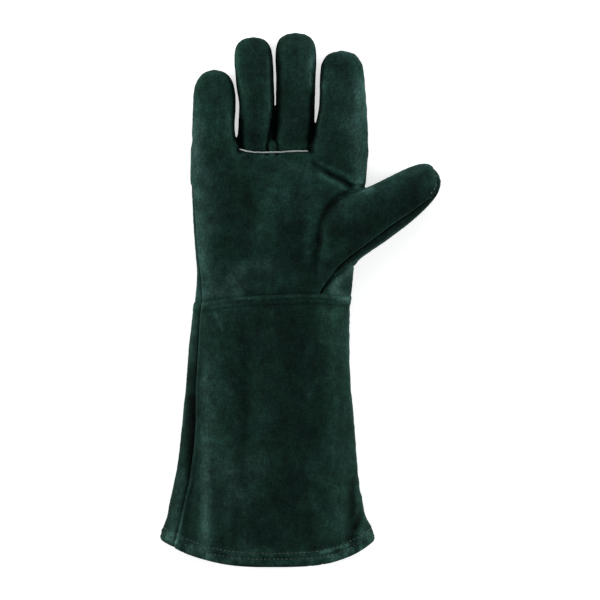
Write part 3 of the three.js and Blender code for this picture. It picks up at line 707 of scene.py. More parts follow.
def glove_field(cell):
    """Distance to the whole glove's skin on a grid of points, and the grid's first corner."""
    axes = [np.arange(a, b, cell) for a, b in zip(GRID_LOW, GRID_HIGH)]
    x, y, z = np.meshgrid(*axes, indexing="ij", sparse=True)

    def window_of(rows, room, along):
        """Window of the grid beyond a limb's sides by some room."""
        return (rows["left"].min() - room, rows["right"].max() + room), along

    def limb(rows, xs, ys, window, reach, end_reach=FINGER_END):
        """Adds a limb to the field inside a window of the grid, from start to end of its rows."""
        i, j = (slice(*np.searchsorted(axis, span)) for axis, span in zip(axes, window))
        xs, ys = (a[i if a.shape[0] > 1 else slice(None), j if a.shape[1] > 1 else slice(None)]
                  for a in (xs, ys))
        under = column(rows, "under", ys) if "under" in rows else -UNDER_REACH
        new = limb_distance(rows, xs, ys, z, under)
        new = smooth_max(new, ys - rows["y"][-1], end_reach)
        new = np.maximum(new, rows["y"][0] - ys)
        part = target[i, j]
        if np.ndim(reach):
            reach = reach[:, j]
        target[i, j] = smooth_min(part, new, reach) if np.any(reach) else np.minimum(part, new)

    target = np.full(tuple(len(axis) for axis in axes), FAR_OUTSIDE)
    for top, rows in FINGERS.values():
        limb(finger_rows(top, rows), x, y, window_of(rows, *FINGER_WINDOW), 0)
    for rows in WEBS:
        limb(rows, x, y, window_of(rows, *WEB_WINDOW), WEB_BLEND)
    station = along_cuff(x[..., 0], y[..., 0])[..., None]
    body = limb_distance(BODY, x, station, z, -UNDER_REACH)
    body = smooth_max(body, station - BODY["y"][-1], BODY_BLEND)
    target = smooth_min(target, body, BODY_BLEND)
    crotch = BODY_BLEND - CROTCH_SHARPER * smooth_step(*CROTCH_SPAN, y)
    limb(THUMB, *thumb_place(x, y), THUMB_WINDOW, crotch, THUMB_END)
    return smooth_max(target, -z, TABLE_BLEND), np.array([axis[0] for axis in axes])


def skin_of(field, corner, cell):
    """Faces round the inside of a field, one point in each cell that its zero level crosses."""
    inside = field < 0
    size = np.array(field.shape) - 1

    def seen_from(array, offset):
        """An array's values at one corner of every cell."""
        return array[tuple(slice(o, o + n) for o, n in zip(offset, size))]

    corners = list(itertools.product((0, 1), repeat=3))
    filled = sum(seen_from(inside, offset).astype(np.int8) for offset in corners)
    mixed = (filled > 0) & (filled < 8)
    number = np.full(size, -1)
    number[mixed] = np.arange(mixed.sum())
    total, count = np.zeros((mixed.sum(), 3)), np.zeros(mixed.sum())
    for offset in corners:
        for axis in range(3):
            if offset[axis]:
                continue
            far = tuple(1 if k == axis else o for k, o in enumerate(offset))
            a, b = seen_from(field, offset)[mixed], seen_from(field, far)[mixed]
            crossing = (a < 0) != (b < 0)
            spot = np.tile(np.array(offset, float), (len(a), 1))
            spot[:, axis] += np.where(crossing, a / np.where(crossing, a - b, 1), 0)
            total += spot * crossing[:, None]
            count += crossing
    points = corner + cell * (np.argwhere(mixed) + total / count[:, None])

    quads = []
    for axis in range(3):
        u, v = (axis + 1) % 3, (axis + 2) % 3
        span = [slice(1, n) for n in size]
        span[axis] = slice(0, size[axis])
        ahead = list(span)
        ahead[axis] = slice(1, size[axis] + 1)
        a, b = inside[tuple(span)], inside[tuple(ahead)]
        places = np.argwhere(a != b)
        places[:, u] += 1
        places[:, v] += 1
        ring = []
        for du, dv in ((1, 1), (0, 1), (0, 0), (1, 0)):
            cells = places.copy()
            cells[:, u] -= du
            cells[:, v] -= dv
            ring.append(number[tuple(cells.T)])
        ring = np.stack(ring, axis=1)
        outwards = a[a != b]
        quads.append(np.where(outwards[:, None], ring, ring[:, ::-1]))
    quads = np.concatenate(quads)
    a, b, c, d = (points[quads[:, k]] for k in range(4))
    first = np.linalg.norm(a - c, axis=1) <= np.linalg.norm(b - d, axis=1)
    quads = np.where(first[:, None], quads, np.roll(quads, 1, axis=1))
    return points, np.concatenate([quads[:, [0, 1, 2]], quads[:, [0, 2, 3]]])


def sides_of(faces):
    """The three sides of each face, as pairs of points in the face's direction."""
    return faces[:, [0, 1, 1, 2, 2, 0]].reshape(-1, 2)


def edges_of(faces):
    """Each edge of the faces once, as pairs of points with the lower number first."""
    return np.unique(np.sort(sides_of(faces), axis=1), axis=0)


def neighbour_mean(values, edges, count):
    """Mean over each point's neighbours."""
    both = np.concatenate([edges, edges[:, ::-1]])
    number = np.maximum(np.bincount(both[:, 0], minlength=count), 1)
    sums = [np.bincount(both[:, 0], weights=values[both[:, 1], k], minlength=count)
            for k in range(values.shape[1])]
    return np.stack(sums, axis=1) / number[:, None]


def eased(points, faces, rounds):
    """Evens out the points without shrinking the form."""
    edges = edges_of(faces)
    for _ in range(rounds):
        for share in EASING_SHARES:
            mean = neighbour_mean(points, edges, len(points))
            points = points + share * (mean - points)
    return points


def point_normals(points, faces):
    """Outward unit normal at each point."""
    a, b, c = (points[faces[:, k]] for k in range(3))
    cross = np.cross(b - a, c - a)
    return unit(np.stack(
        [sum(np.bincount(faces[:, k], weights=cross[:, axis], minlength=len(points))
             for k in range(3)) for axis in range(3)], axis=1))


def corner_shares(part):
    """Each corner of a grid's cell, and its share at places inside the cell."""
    for offset in itertools.product((0, 1), repeat=3):
        corner = np.array(offset)
        yield corner, np.prod(np.where(corner, part, 1 - part), axis=1)


def mottle(points, size, seed):
    """Smooth random values from -1 to 1 at the points, about one bump for each size."""
    where = points / size + 1000.0 + 17.0 * seed
    base = np.floor(where).astype(np.int64)
    part = where - base
    part = part**3 * (part * (part * 6 - 15) + 10)
    total = np.zeros(len(points))
    for corner, share in corner_shares(part):
        mixed = (base + corner) @ np.array(HASH_AXES) + seed * HASH_SEED
        mixed = (mixed ^ (mixed >> 13)) * HASH_STIR & 0x7FFFFFFF
        mixed = (mixed ^ (mixed >> 16)) & 0xFFFFF
        total += share * (mixed / 0x7FFFF - 1)
    return total


def line_place(x, y, line):
    """Distance in plan to an open line, and how far the nearest place is from its closer end."""
    nearest, share = np.full(np.shape(x), 1e9), np.zeros(np.shape(x))
    lengths = [math.dist(a, b) for a, b in zip(line, line[1:])]
    for k, ((ax, ay), (bx, by)) in enumerate(zip(line, line[1:])):
        dx, dy = bx - ax, by - ay
        t = np.clip(((x - ax) * dx + (y - ay) * dy) / (dx * dx + dy * dy), 0, 1)
        distance = np.hypot(x - ax - t * dx, y - ay - t * dy)
        along = sum(lengths[:k]) + t * lengths[k]
        share = np.where(distance < nearest, np.minimum(along, sum(lengths) - along), share)
        nearest = np.minimum(nearest, distance)
    return nearest, share


def outline_distance(x, y, outline):
    """Distance in plan to a closed outline, negative inside it."""
    inside = np.zeros(np.shape(x), bool)
    for (ax, ay), (bx, by) in zip(outline, outline[1:] + outline[:1]):
        rise = by - ay if by != ay else 1.0
        inside ^= ((ay > y) != (by > y)) & (x < (bx - ax) * (y - ay) / rise + ax)
    distance = line_place(x, y, outline + outline[:1])[0]
    return np.where(inside, -distance, distance)


def scored(points, faces, value, near=0.2):
    """Cuts the faces along the line where value is zero. A point that all but lies on the line
    moves onto it. Returns points, faces, each face's old number, and value at every point."""
    points, value = points.copy(), value.copy()
    sides = np.sort(sides_of(faces), axis=1)
    keys, back = np.unique(sides[:, 0] * len(points) + sides[:, 1], return_inverse=True)
    back = back.reshape(-1, 3)
    a, b = keys // len(points), keys % len(points)

    def crossings():
        """Edges that the line crosses, how far along each, and where."""
        crossing = np.flatnonzero(value[a] * value[b] < 0)
        one, other = a[crossing], b[crossing]
        t = value[one] / (value[one] - value[other])
        return crossing, t, points[one] + t[:, None] * (points[other] - points[one])

    for _ in range(2):
        crossing, t, spot = crossings()
        for ends, close in ((a, t < near), (b, t > 1 - near)):
            moved = ends[crossing[close]]
            points[moved] = spot[close]
            value[moved] = 0
    crossing, _, spot = crossings()
    new = np.full(len(keys), -1)
    new[crossing] = len(points) + np.arange(len(crossing))
    points, value = np.concatenate([points, spot]), np.concatenate([value, np.zeros(len(spot))])

    cut = new[back]
    cuts = (cut >= 0).sum(axis=1)
    order = np.arange(len(faces))

    def turned(chosen, first):
        """Faces and their cuts with the given side first."""
        turn = (first[:, None] + np.arange(3)) % 3
        return (np.take_along_axis(faces[chosen], turn, axis=1),
                np.take_along_axis(cut[chosen], turn, axis=1))

    once, twice = np.flatnonzero(cuts == 1), np.flatnonzero(cuts == 2)
    f1, c1 = turned(once, np.argmax(cut[once] >= 0, axis=1))
    f2, c2 = turned(twice, np.argmax(cut[twice] < 0, axis=1))
    parts = [
        (faces[cuts == 0], order[cuts == 0]),
        (np.stack([f1[:, 0], c1[:, 0], f1[:, 2]], axis=1), once),
        (np.stack([c1[:, 0], f1[:, 1], f1[:, 2]], axis=1), once),
        (np.stack([f2[:, 2], c2[:, 2], c2[:, 1]], axis=1), twice),
        (np.stack([f2[:, 0], f2[:, 1], c2[:, 1]], axis=1), twice),
        (np.stack([f2[:, 0], c2[:, 1], c2[:, 2]], axis=1), twice),
    ]
    return (points, np.concatenate([part[0] for part in parts]),
            np.concatenate([part[1] for part in parts]), value)


def boundary_of(faces):
    """Directed edges that only one face has."""
    sides = sides_of(faces)
    size = faces.max() + 1
    there = sides[:, 0] * size + sides[:, 1]
    back = sides[:, 1] * size + sides[:, 0]
    return sides[~np.isin(there, back)]


def chained(pairs):
    """Orders the pairs of points into the longest line that they make."""
    beside = {}
    for a, b in pairs.tolist():
        beside.setdefault(a, []).append(b)
        beside.setdefault(b, []).append(a)
    lines, seen = [], set()
    starts = sorted(beside, key=lambda p: (len(beside[p]) != 1, p))
    for start in starts:
        if start in seen:
            continue
        line = [start]
        seen.add(start)
        while True:
            after = [p for p in beside[line[-1]] if p not in seen]
            if not after:
                break
            line.append(after[0])
            seen.add(after[0])
        lines.append(line)
    return max(lines, key=len)


def nearest_to(points, targets, reach):
    """Distance to and number of the nearest target of each point, up to a reach."""
    tree = kdtree.KDTree(len(targets))
    for number, target in enumerate(targets):
        tree.insert(target, number)
    tree.balance()
    distance, found = np.full(len(points), ANYWHERE), np.zeros(len(points), int)
    low, high = targets.min(axis=0) - reach, targets.max(axis=0) + reach
    for k in np.flatnonzero(((points > low) & (points < high)).all(axis=1)):
        _, number, gap = tree.find(points[k])
        distance[k], found[k] = gap, number
    return distance, found


def relief(points):
    """How far the folds and dents lift the palm side at each point, and the tone there: painted
    light and shade, and the nap's own tone.
    """
    x, y = points[:, 0], points[:, 1]
    rise, tone = np.zeros(len(points)), np.zeros(len(points))
    for _, line, height, reach, light in FOLDS:
        distance, inwards = line_place(x, y, line)
        strength = bell(distance, reach) * smooth_step(0, 2 * reach, inwards)
        rise += height * strength
        tone += light * strength
    for _, line, reach, light in PAINTED_LIGHT_SHADE_AND_NAP:
        tone += light * bell(line_place(x, y, line)[0], reach)
    upper = np.clip((points[:, 2] - SIDE_SEAM_Z - 1) / FOLD_FADE, 0, 1)
    return rise * upper, tone * smooth_step(*PAINTED_TONE_HEIGHTS, points[:, 2])


def fork_distance(points, start, end):
    """Rough distance to a forked strip's leather, which narrows to a point at start and end."""
    x, y, z = points.T
    taper = np.clip(np.minimum(x - start, end - x) / FORK_TAPER, 0, 1) ** FORK_POINT
    top = SIDE_SEAM_Z + (FORK_TOP_Z - SIDE_SEAM_Z) * taper
    under = SIDE_SEAM_Z - (SIDE_SEAM_Z - FORK_UNDER_Z) * taper
    return np.maximum.reduce([z - top, under - z, start - x, x - end, FORK_NEAR - y])


def whole_skin(field, corner, cell):
    """The glove's outer skin in one piece, with its folds, dents and slack waves."""
    points, faces = skin_of(field, corner, cell)
    points = eased(points, faces, EASING_ROUNDS)
    points[:, 2] = np.maximum(points[:, 2], 0)

    normals = point_normals(points, faces)
    points[:, 2] += relief(points)[0]
    waves = sum(height * mottle(points, size, seed) for height, size, seed in WAVES)
    points += normals * (waves * np.clip(points[:, 2] / WAVE_FADE, 0, 1))[:, None]
    return points, faces


def region_distance(points, outline, low, high):
    """Rough distance to the space inside an outline between two levels."""
    x, y, z = points.T
    if low == SIDE_SEAM_Z:
        across, along = thumb_place(x, y)
        climb = smooth_step(*TIP_CLIMB, along) * smooth_step(*TIP_ACROSS, across)
        low = low + TIP_RISE * climb * (x > THUMB_ROOT[0] + TIP_PAST)
    return np.maximum.reduce([outline_distance(x, y, outline), low - z, z - high])


@functools.cache
def glove_skin(cell):
    """The glove's outer skin, cut along its seams and the lines of its hem."""
    field, corner = glove_field(cell)
    points, faces = whole_skin(field, corner, cell)
    station = along_cuff(points[:, 0], points[:, 1]) - BODY["y"][0]
    points, faces, _, station = scored(points, faces, station)
    faces = faces[station[faces].sum(axis=1) > 0]
    labels = np.full(len(faces), NO_PIECE)

    def assign(piece, value):
        """Gives a piece the leather that none has yet where value is below zero."""
        nonlocal points, faces, labels
        points, faces, parents, value = scored(points, faces, value)
        labels = labels[parents]
        labels[(labels == NO_PIECE) & (value[faces].sum(axis=1) < 0)] = PIECES.index(piece)

    # The cuff is set aside under a number of its own until the hand has its pieces.
    value = -outline_distance(points[:, 0], points[:, 1], HAND_ZONE)
    points, faces, parents, value = scored(points, faces, value)
    labels = labels[parents]
    labels[value[faces].sum(axis=1) < 0] = len(PIECES)
    for name, (start, end) in FORKS.items():
        assign(name, fork_distance(points, start, end))
    for name, outline, low, high in HAND_PIECES:
        assign(name, region_distance(points, outline, low, high))
    labels[labels == NO_PIECE] = PIECES.index("back_panel")
    labels[labels == len(PIECES)] = NO_PIECE
    assign("cuff_front", region_distance(points, CUFF_FRONT, SIDE_SEAM_Z, SKY))
    labels[labels == NO_PIECE] = PIECES.index("cuff_back")
    labels = without_specks(faces, labels)

    def refine(distance, levels):
        """Adds rows of points at even distances from an edge."""
        nonlocal points, faces, labels
        for level in levels:
            points, faces, parents, distance = scored(points, faces, distance - level)
            distance = distance + level
            labels = labels[parents]

    edge_samples = samples_along(points, boundary_of(faces))
    hem, _ = nearest_to(points, edge_samples, HEM_SEARCH)
    refine(hem, (*HEM_NOSE_ROWS, *HEM_ROWS, HEM_DEPTH))
    pairs, _ = seam_edges(faces, labels)
    seam, _ = nearest_to(points, samples_along(points, pairs), SEAM_SEARCH)
    refine(seam, SEAM_ROWS)
    hem, _ = nearest_to(points, edge_samples, HEM_SEARCH)

    used, faces = np.unique(faces, return_inverse=True)
    faces = faces.reshape(-1, 3)
    points, hem = points[used], hem[used]
    normals = point_normals(points, faces)
    # The skin's tone: painted light and shade by its form, nap tone in patches, and painted shade
    # where other leather stands close
    tone = form_tone(points, faces, normals)
    tone -= CLOSE_SHADE * closeness(points, normals, field, corner, cell)
    return {"points": points, "faces": faces, "labels": labels, "hem": hem, "normals": normals,
            "tone": tone}


def form_tone(points, faces, normals):
    """Tone painted onto the skin in stops: that of the folds and patches, a painted highlight on
    ridges and painted shade in hollows.
    """
    soft, edges = points, edges_of(faces)
    for _ in range(RIDGE_ROUNDS):
        soft = neighbour_mean(soft, edges, len(points))
    ridge = ((points - soft) * normals).sum(axis=1)
    tone = relief(points)[1] * smooth_step(*FACING_UP, normals[:, 2])
    return tone + RIDGE_LIGHT_AND_SHADE * np.clip(ridge / RIDGE_HEIGHT, *RIDGE_LIMITS)


def closeness(points, normals, field, corner, cell):
    """How closely other parts of the glove stand over each point, from 0 to 1."""
    total = np.zeros(len(points))
    whole = CLOSE_MOST * len(CLOSE_REACHES)
    for reach in CLOSE_REACHES:
        spot = (points + normals * reach - corner) / cell
        base = np.clip(np.floor(spot).astype(int), 0, np.array(field.shape) - 2)
        part = np.clip(spot - base, 0, 1)
        value = np.zeros(len(points))
        for offset, share in corner_shares(part):
            value += share * field[tuple((base + offset).T)]
        total += np.clip(CLOSE_MOST - value / reach, 0, CLOSE_MOST) / whole
    return total


def without_specks(faces, labels):
    """Gives specks of leather that are cut off from their piece to the piece around them."""
    for _ in range(2):
        sides = np.sort(sides_of(faces), axis=1)
        face = np.repeat(np.arange(len(faces)), 3)
        order = np.lexsort((sides[:, 1], sides[:, 0]))
        sides, face = sides[order], face[order]
        meets = (sides[1:] == sides[:-1]).all(axis=1)
        one, other = face[:-1][meets], face[1:][meets]
        same = labels[one] == labels[other]
        root = np.arange(len(faces))
        while True:
            low = np.minimum(root[one[same]], root[other[same]])
            new = root.copy()
            np.minimum.at(new, one[same], low)
            np.minimum.at(new, other[same], low)
            new = new[new][new[new]]
            if (new == root).all():
                break
            root = new
        small = np.bincount(root, minlength=len(faces))[root] < SPECK
        if not small.any():
            return labels
        labels = labels.copy()
        for a, b in ((one, other), (other, one)):
            give = small[a] & ~small[b] & ~same
            roots = root[a[give]]
            taken = dict(zip(roots.tolist(), labels[b[give]].tolist()))
            for k in np.flatnonzero(small):
                labels[k] = taken.get(int(root[k]), labels[k])
    return labels


def samples_along(points, pairs, count=4):
    """Places spread along the edges between pairs of points."""
    shares = (np.arange(count) / count)[:, None, None]
    a, b = points[pairs[:, 0]], points[pairs[:, 1]]
    return (a + (b - a) * shares).reshape(-1, 3)


def seam_edges(faces, labels):
    """Edges whose two faces belong to different pieces, and the two pieces' numbers."""
    sides = np.sort(sides_of(faces), axis=1)
    owner = np.repeat(labels, 3)
    order = np.lexsort((owner, sides[:, 1], sides[:, 0]))
    sides, owner = sides[order], owner[order]
    meets = (sides[1:] == sides[:-1]).all(axis=1) & (owner[1:] != owner[:-1])
    return sides[:-1][meets], np.stack([owner[:-1], owner[1:]], axis=1)[meets]


def seam_settings(first, second):
    """A seam's numbers, and whether the first piece is the upper one."""
    if (first, second) in SEAMS:
        return dict(zip(SEAM_COLUMNS, SEAMS[first, second])), True
    if (second, first) in SEAMS:
        return dict(zip(SEAM_COLUMNS, SEAMS[second, first])), False
    return dict(zip(SEAM_COLUMNS, PLAIN_SEAM)), True


def sewn(number, start, own, gathers, points, pairs, owners):
    """What the seams do to a piece's points: named amounts for each, and how far each moves."""
    names = ("sink", "swell", "drop", "band", "line", "shade", "fold")
    amounts = {name: np.zeros(len(start)) for name in names}
    push = np.zeros_like(start)

    def at_least(name, value):
        """Raises an amount to the value where it is lower."""
        amounts[name] = np.maximum(amounts[name], value)

    for other in sorted(set(owners[(owners == number).any(axis=1)].ravel()) - {number}):
        seam, upper = seam_settings(PIECES[number], PIECES[other])
        shared = pairs[(owners == sorted((number, other))).all(axis=1)]
        samples = samples_along(points, shared)
        gap, found = nearest_to(start, samples, max(GAP_SEARCH, STEP_ENDS * seam["step_reach"]))
        welted = seam["gap"] > 0
        depth = seam["depth"] * (UPPER_SINKS if upper else 1)
        at_least("sink", depth * np.exp(-gap / seam["reach"]))
        # a dark line of painted shade along the groove
        crisp = min(1, seam["depth"] / CRISP_DEPTH) * (UPPER_LINE if upper else 1)
        at_least("line", crisp * np.exp(-gap / LINE_REACH))
        lap = 0
        if upper:
            if welted:
                at_least("fold", WELT_FOLD * bell(gap, WELT_FOLD_REACH))
            bulge = seam["lip"] * (1 + LIP_VARIES * gathers)
            at_least("swell", bulge * bell(gap - LIP_PLACE, LIP_REACH))
            if seam["band"]:
                edge = seam["band"] * (1 + BAND_VARIES * gathers)
                at_least("band", 1 - smooth_step(edge - BAND_STEP, edge + BAND_STEP, gap))
                beside = bell(gap - edge - BAND_LINE_PLACE, BAND_LINE_REACH)
                at_least("line", BAND_LINE * beside)
        else:
            at_least("drop", seam["step"] * bell(gap, seam["step_reach"]))
            # painted shade on the lower piece in the groove
            at_least("shade", seam["shade"] * bell(gap, SHADE_REACH))
            lap = WELT_LAP if welted else LAP
        away = start - samples[found]
        on_seam = np.linalg.norm(away, axis=1) < ON_SEAM
        away = unit(away, ON_SEAM)
        inward = unit(neighbour_mean(away, edges_of(own), len(start)), 1e-6)
        away = np.where(on_seam[:, None], inward, away)
        push += away * ((seam["gap"] / 2 - lap) * np.clip(1 - gap / LAP_REACH, 0, 1))[:, None]
    return amounts, push


def pinch(hem, noise, height, comes_in, goes_out):
    """Height of the gathers or lumps that run along the hem."""
    return height * noise * smooth_step(*comes_in, hem) * (1 - smooth_step(*goes_out, hem))


@functools.cache
def glove_leather(cell):
    """Each piece's outer and inner skin, with its tone of painted light and shade and of the nap,
    once the glove is sewn.
    """
    skin = glove_skin(cell)
    points, faces, labels = skin["points"], skin["faces"], skin["labels"]
    pairs, owners = seam_edges(faces, labels)
    pieces = {}
    for number, name in enumerate(PIECES):
        used, own = np.unique(faces[labels == number], return_inverse=True)
        own = own.reshape(-1, 3)
        start, normals, hem = points[used], skin["normals"][used], skin["hem"][used]
        gathers = mottle(start, GATHER_SIZE, 3)
        lumps = mottle(start, LUMP_SIZE, 4)
        amounts, push = sewn(number, start, own, gathers, points, pairs, owners)
        swell, band = amounts["swell"], amounts["band"]

        nose = np.clip(HEM_NOSE - hem, 0, HEM_NOSE)
        tuck = HEM_NOSE - np.sqrt(HEM_NOSE**2 - nose**2)
        tuck = np.minimum(tuck, HEM_NOSE - HEM_NOSE_LEAST)
        doubled = HEM_RISE * (1 - smooth_step(*HEM_RISE_ENDS, hem))
        rows = sum(bell(hem - row, ROW_REACH) for row in HEM_ROWS)
        pinched = pinch(hem, gathers, *GATHERS) + pinch(hem, lumps, *LUMPS)
        lift = swell - amounts["sink"] - tuck + BAND_RISE * band + doubled - ROW_DEPTH * rows
        lift = lift + PINCH_LIFT * pinched + FUZZ * mottle(start, FUZZ_SIZE, 6)
        outer = start + push + normals * lift[:, None]
        outer[:, 2] -= amounts["drop"] * np.clip(normals[:, 2] + STEP_TURN, 0, 1)
        outer[:, 2] = np.maximum(outer[:, 2], 0)
        turned = 1 - smooth_step(*HEM_TURN_ENDS, hem)
        thick = WALL + amounts["fold"] + (HEM_WALL - WALL) * turned - 2 * tuck

        # Painted highlight on the lip, the raised band and the hem's lumps, painted shade along
        # the seams' grooves and in the lumps' dips; darker along the pressed-in rows, lighter over
        # the hem
        tone = skin["tone"][used] + LIP_HIGHLIGHT * swell - LINE_SHADE * amounts["line"]
        tone = tone + BAND_HIGHLIGHT * band - ROW_TONE * rows - amounts["shade"]
        tone += HEM_TONE * (1 - smooth_step(*HEM_LIGHT_ENDS, hem)) + PINCH_LIGHT_AND_SHADE * pinched
        pieces[name] = {"outer": outer, "inner": outer - normals * thick[:, None], "faces": own,
                        "tone": tone, "hem": hem, "start": start}
    return pieces


def fine_mesh(name, points, faces, material, values=None):
    """A finished piece at the origin from places in millimetres, with smooth faces."""
    mesh = bpy.data.meshes.new(name)
    mesh.vertices.add(len(points))
    mesh.vertices.foreach_set("co", (points * MM).astype(np.float32).ravel())
    mesh.loops.add(faces.size)
    mesh.loops.foreach_set("vertex_index", faces.astype(np.int32).ravel())
    mesh.polygons.add(len(faces))
    starts = np.arange(len(faces), dtype=np.int32) * faces.shape[1]
    mesh.polygons.foreach_set("loop_start", starts)
    mesh.update(calc_edges=True)
    mesh.validate()
    for key, value in (values or {}).items():
        attribute = mesh.attributes.new(key, "FLOAT", "POINT")
        attribute.data.foreach_set("value", value.astype(np.float32))
    mesh.shade_smooth()
    mesh.set_sharp_from_angle(angle=math.radians(SHARP_ANGLE))
    mesh.materials.append(material)
    piece = bpy.data.objects.new(name, mesh)
    bpy.context.scene.collection.objects.link(piece)
    return piece


def leather_piece(name, cell, material):
    """A panel of leather with its thickness, which stands for the CAD node of that name."""
    part = glove_leather(cell)[name]
    outer, inner, faces = part["outer"], part["inner"], part["faces"]
    a, b = boundary_of(faces).T
    count = len(outer)
    wall = np.concatenate([np.stack([b, a, a + count], axis=1),
                           np.stack([b, a + count, b + count], axis=1)])
    faces = np.concatenate([faces, faces[:, ::-1] + count, wall])
    tone = np.concatenate([part["tone"], np.full(count, INNER_TONE)])
    piece = fine_mesh(name + "_leather", np.concatenate([outer, inner]), faces, material,
                      {"tone": tone})
    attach(piece, "root")
    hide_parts(name)


def node_group(name, inputs, outputs):
    """A new shader node group with named sockets. Each input has a kind and a default."""
    group = bpy.data.node_groups.new(name, "ShaderNodeTree")
    for label, kind, default in inputs:
        socket = group.interface.new_socket(label, in_out="INPUT", socket_type=kind)
        socket.default_value = default
    for label, kind in outputs:
        group.interface.new_socket(label, in_out="OUTPUT", socket_type=kind)
    return group, group.nodes.new("NodeGroupInput"), group.nodes.new("NodeGroupOutput")


def wired(tree, kind, values=None, **settings):
    """Adds a node with its settings. A value that is a socket is linked, any other is set."""
    node = tree.nodes.new(kind)
    for key, value in settings.items():
        setattr(node, key, value)
    for key, value in (values or {}).items():
        if isinstance(value, bpy.types.NodeSocket):
            tree.links.new(value, node.inputs[key])
        else:
            node.inputs[key].default_value = value
    return node


def maths(tree, operation, *values):
    """Result of a Math node."""
    node = wired(tree, "ShaderNodeMath", dict(enumerate(values)), operation=operation)
    return node.outputs[0]


def ramp(tree, value, low, high):
    """Goes from 0 to 1 as the value goes from low to high."""
    return wired(tree, "ShaderNodeMapRange",
                 {"Value": value, "From Min": low, "From Max": high}).outputs["Result"]


def mixed_colour(tree, share, first, second):
    """The first colour turning into the second as the share goes from 0 to 1."""
    return wired(tree, "ShaderNodeMix", {"Factor": share, "A": first, "B": second},
                 data_type="RGBA").outputs["Result"]


@functools.cache
def suede_nap():
    """Cloudy colour and fine nap of split leather. Tone lightens it, in stops, and turns it greyer
    where it is high; tone carries painted light and shade as well as the nap's own tone.
    """
    dark = (0.01, 0.02, 0.02, 1)
    inputs = [(label, "NodeSocketColor", dark)
              for label in ("Colour", "Cool colour", "Rubbed colour")]
    inputs += [(label, "NodeSocketFloat", default) for label, default in (
        ("Cloud", 0.034), ("Patch", 0.0085), ("Nap", 0.0017), ("Contrast", 1.25), ("Tone", 0.0))]
    group, given, result = node_group(
        "suede_nap", inputs, (("Colour", "NodeSocketColor"), ("Height", "NodeSocketFloat")))
    place = wired(group, "ShaderNodeTexCoord").outputs["Object"]

    def noise(size_name, share, detail, rough, stretch):
        """Noise around zero, by a share of one of the group's sizes."""
        size = given.outputs[size_name]
        if share != 1:
            size = maths(group, "MULTIPLY", size, share)
        spread = wired(group, "ShaderNodeMapping", {"Vector": place, "Scale": stretch})
        node = wired(group, "ShaderNodeTexNoise", {
            "Vector": spread.outputs["Vector"], "Scale": maths(group, "DIVIDE", 1.0, size),
            "Detail": detail, "Roughness": rough})
        return maths(group, "SUBTRACT", node.outputs["Fac"], 0.5)

    layers = {name: noise(*settings) for name, settings in NAP_LAYERS.items()}

    def summed(weights):
        """The layers' sum, each by its weight."""
        parts = [maths(group, "MULTIPLY", layers[name], weight) for name, weight in weights]
        return functools.reduce(functools.partial(maths, group, "ADD"), parts)

    total = maths(group, "MULTIPLY", summed(NAP_TONE), given.outputs["Contrast"])
    total = maths(group, "ADD", total, given.outputs["Tone"])
    gain = maths(group, "POWER", 2.0, total)
    cool = ramp(group, layers["hue"], *COOL_RANGE)
    cooled = mixed_colour(group, cool, given.outputs["Colour"], given.outputs["Cool colour"])
    # the greyer colour that painted highlights and rubbed nap take as the tone rises
    rubbed = ramp(group, given.outputs["Tone"], *HIGHLIGHT_AND_RUBBED_RANGE)
    greyed = mixed_colour(group, rubbed, cooled, given.outputs["Rubbed colour"])
    tinted = wired(group, "ShaderNodeVectorMath", {0: greyed, "Scale": gain}, operation="SCALE")
    group.links.new(tinted.outputs[0], result.inputs["Colour"])
    group.links.new(summed(NAP_RELIEF), result.inputs["Height"])
    return group


def new_material(name, roughness, sheen=0.0, tint=(1, 1, 1), sheen_roughness=0.5):
    """A material with one Principled shader, its tree and that shader."""
    material = bpy.data.materials.new(name)
    material.use_nodes = True
    tree = material.node_tree
    shader = tree.nodes["Principled BSDF"]
    shader.inputs["Roughness"].default_value = roughness
    shader.inputs["Sheen Weight"].default_value = sheen
    shader.inputs["Sheen Roughness"].default_value = sheen_roughness
    shader.inputs["Sheen Tint"].default_value = (*tint, 1)
    shader.inputs["Specular IOR Level"].default_value = SPECULAR
    return material, tree, shader


@functools.cache
def suede(name, colour, cool_colour, highlight_and_rubbed_colour, sheen):
    """Matt dark split leather."""
    material, tree, shader = new_material(name, SUEDE_ROUGHNESS, sheen, SHEEN_TINT,
                                          SHEEN_ROUGHNESS)
    tone = wired(tree, "ShaderNodeAttribute", attribute_name="tone").outputs["Fac"]
    nap = wired(tree, "ShaderNodeGroup", {
        "Colour": (*colour, 1), "Cool colour": (*cool_colour, 1),
        "Rubbed colour": (*highlight_and_rubbed_colour, 1), "Tone": tone}, node_tree=suede_nap())
    bump = wired(tree, "ShaderNodeBump",
                 {"Strength": NAP_BUMP, "Distance": NAP_DEPTH, "Height": nap.outputs["Height"]})
    tree.links.new(nap.outputs["Colour"], shader.inputs["Base Color"])
    tree.links.new(bump.outputs["Normal"], shader.inputs["Normal"])
    return material


@functools.cache
def plain_material(name, colour, roughness, grain, depth, uneven, glow=0.0):
    """A material with a grain of the given size and depth, and unevenly light by that share."""
    material, tree, shader = new_material(name, roughness, TRIM_SHEEN)
    place = wired(tree, "ShaderNodeTexCoord").outputs["Object"]
    noise = wired(tree, "ShaderNodeTexNoise", {"Vector": place, "Scale": 1 / grain, "Detail": 3})
    mix = mixed_colour(tree, ramp(tree, noise.outputs["Fac"], *GRAIN_RANGE),
                       (*((1 - uneven) * c for c in colour), 1),
                       (*(min(1, (1 + uneven) * c) for c in colour), 1))
    bump = wired(tree, "ShaderNodeBump",
                 {"Strength": GRAIN_BUMP, "Distance": depth, "Height": noise.outputs["Fac"]})
    tree.links.new(mix, shader.inputs["Base Color"])
    tree.links.new(bump.outputs["Normal"], shader.inputs["Normal"])
    shader.inputs["Emission Strength"].default_value = glow
    shader.inputs["Emission Color"].default_value = (1, 1, 1, 1)
    return material


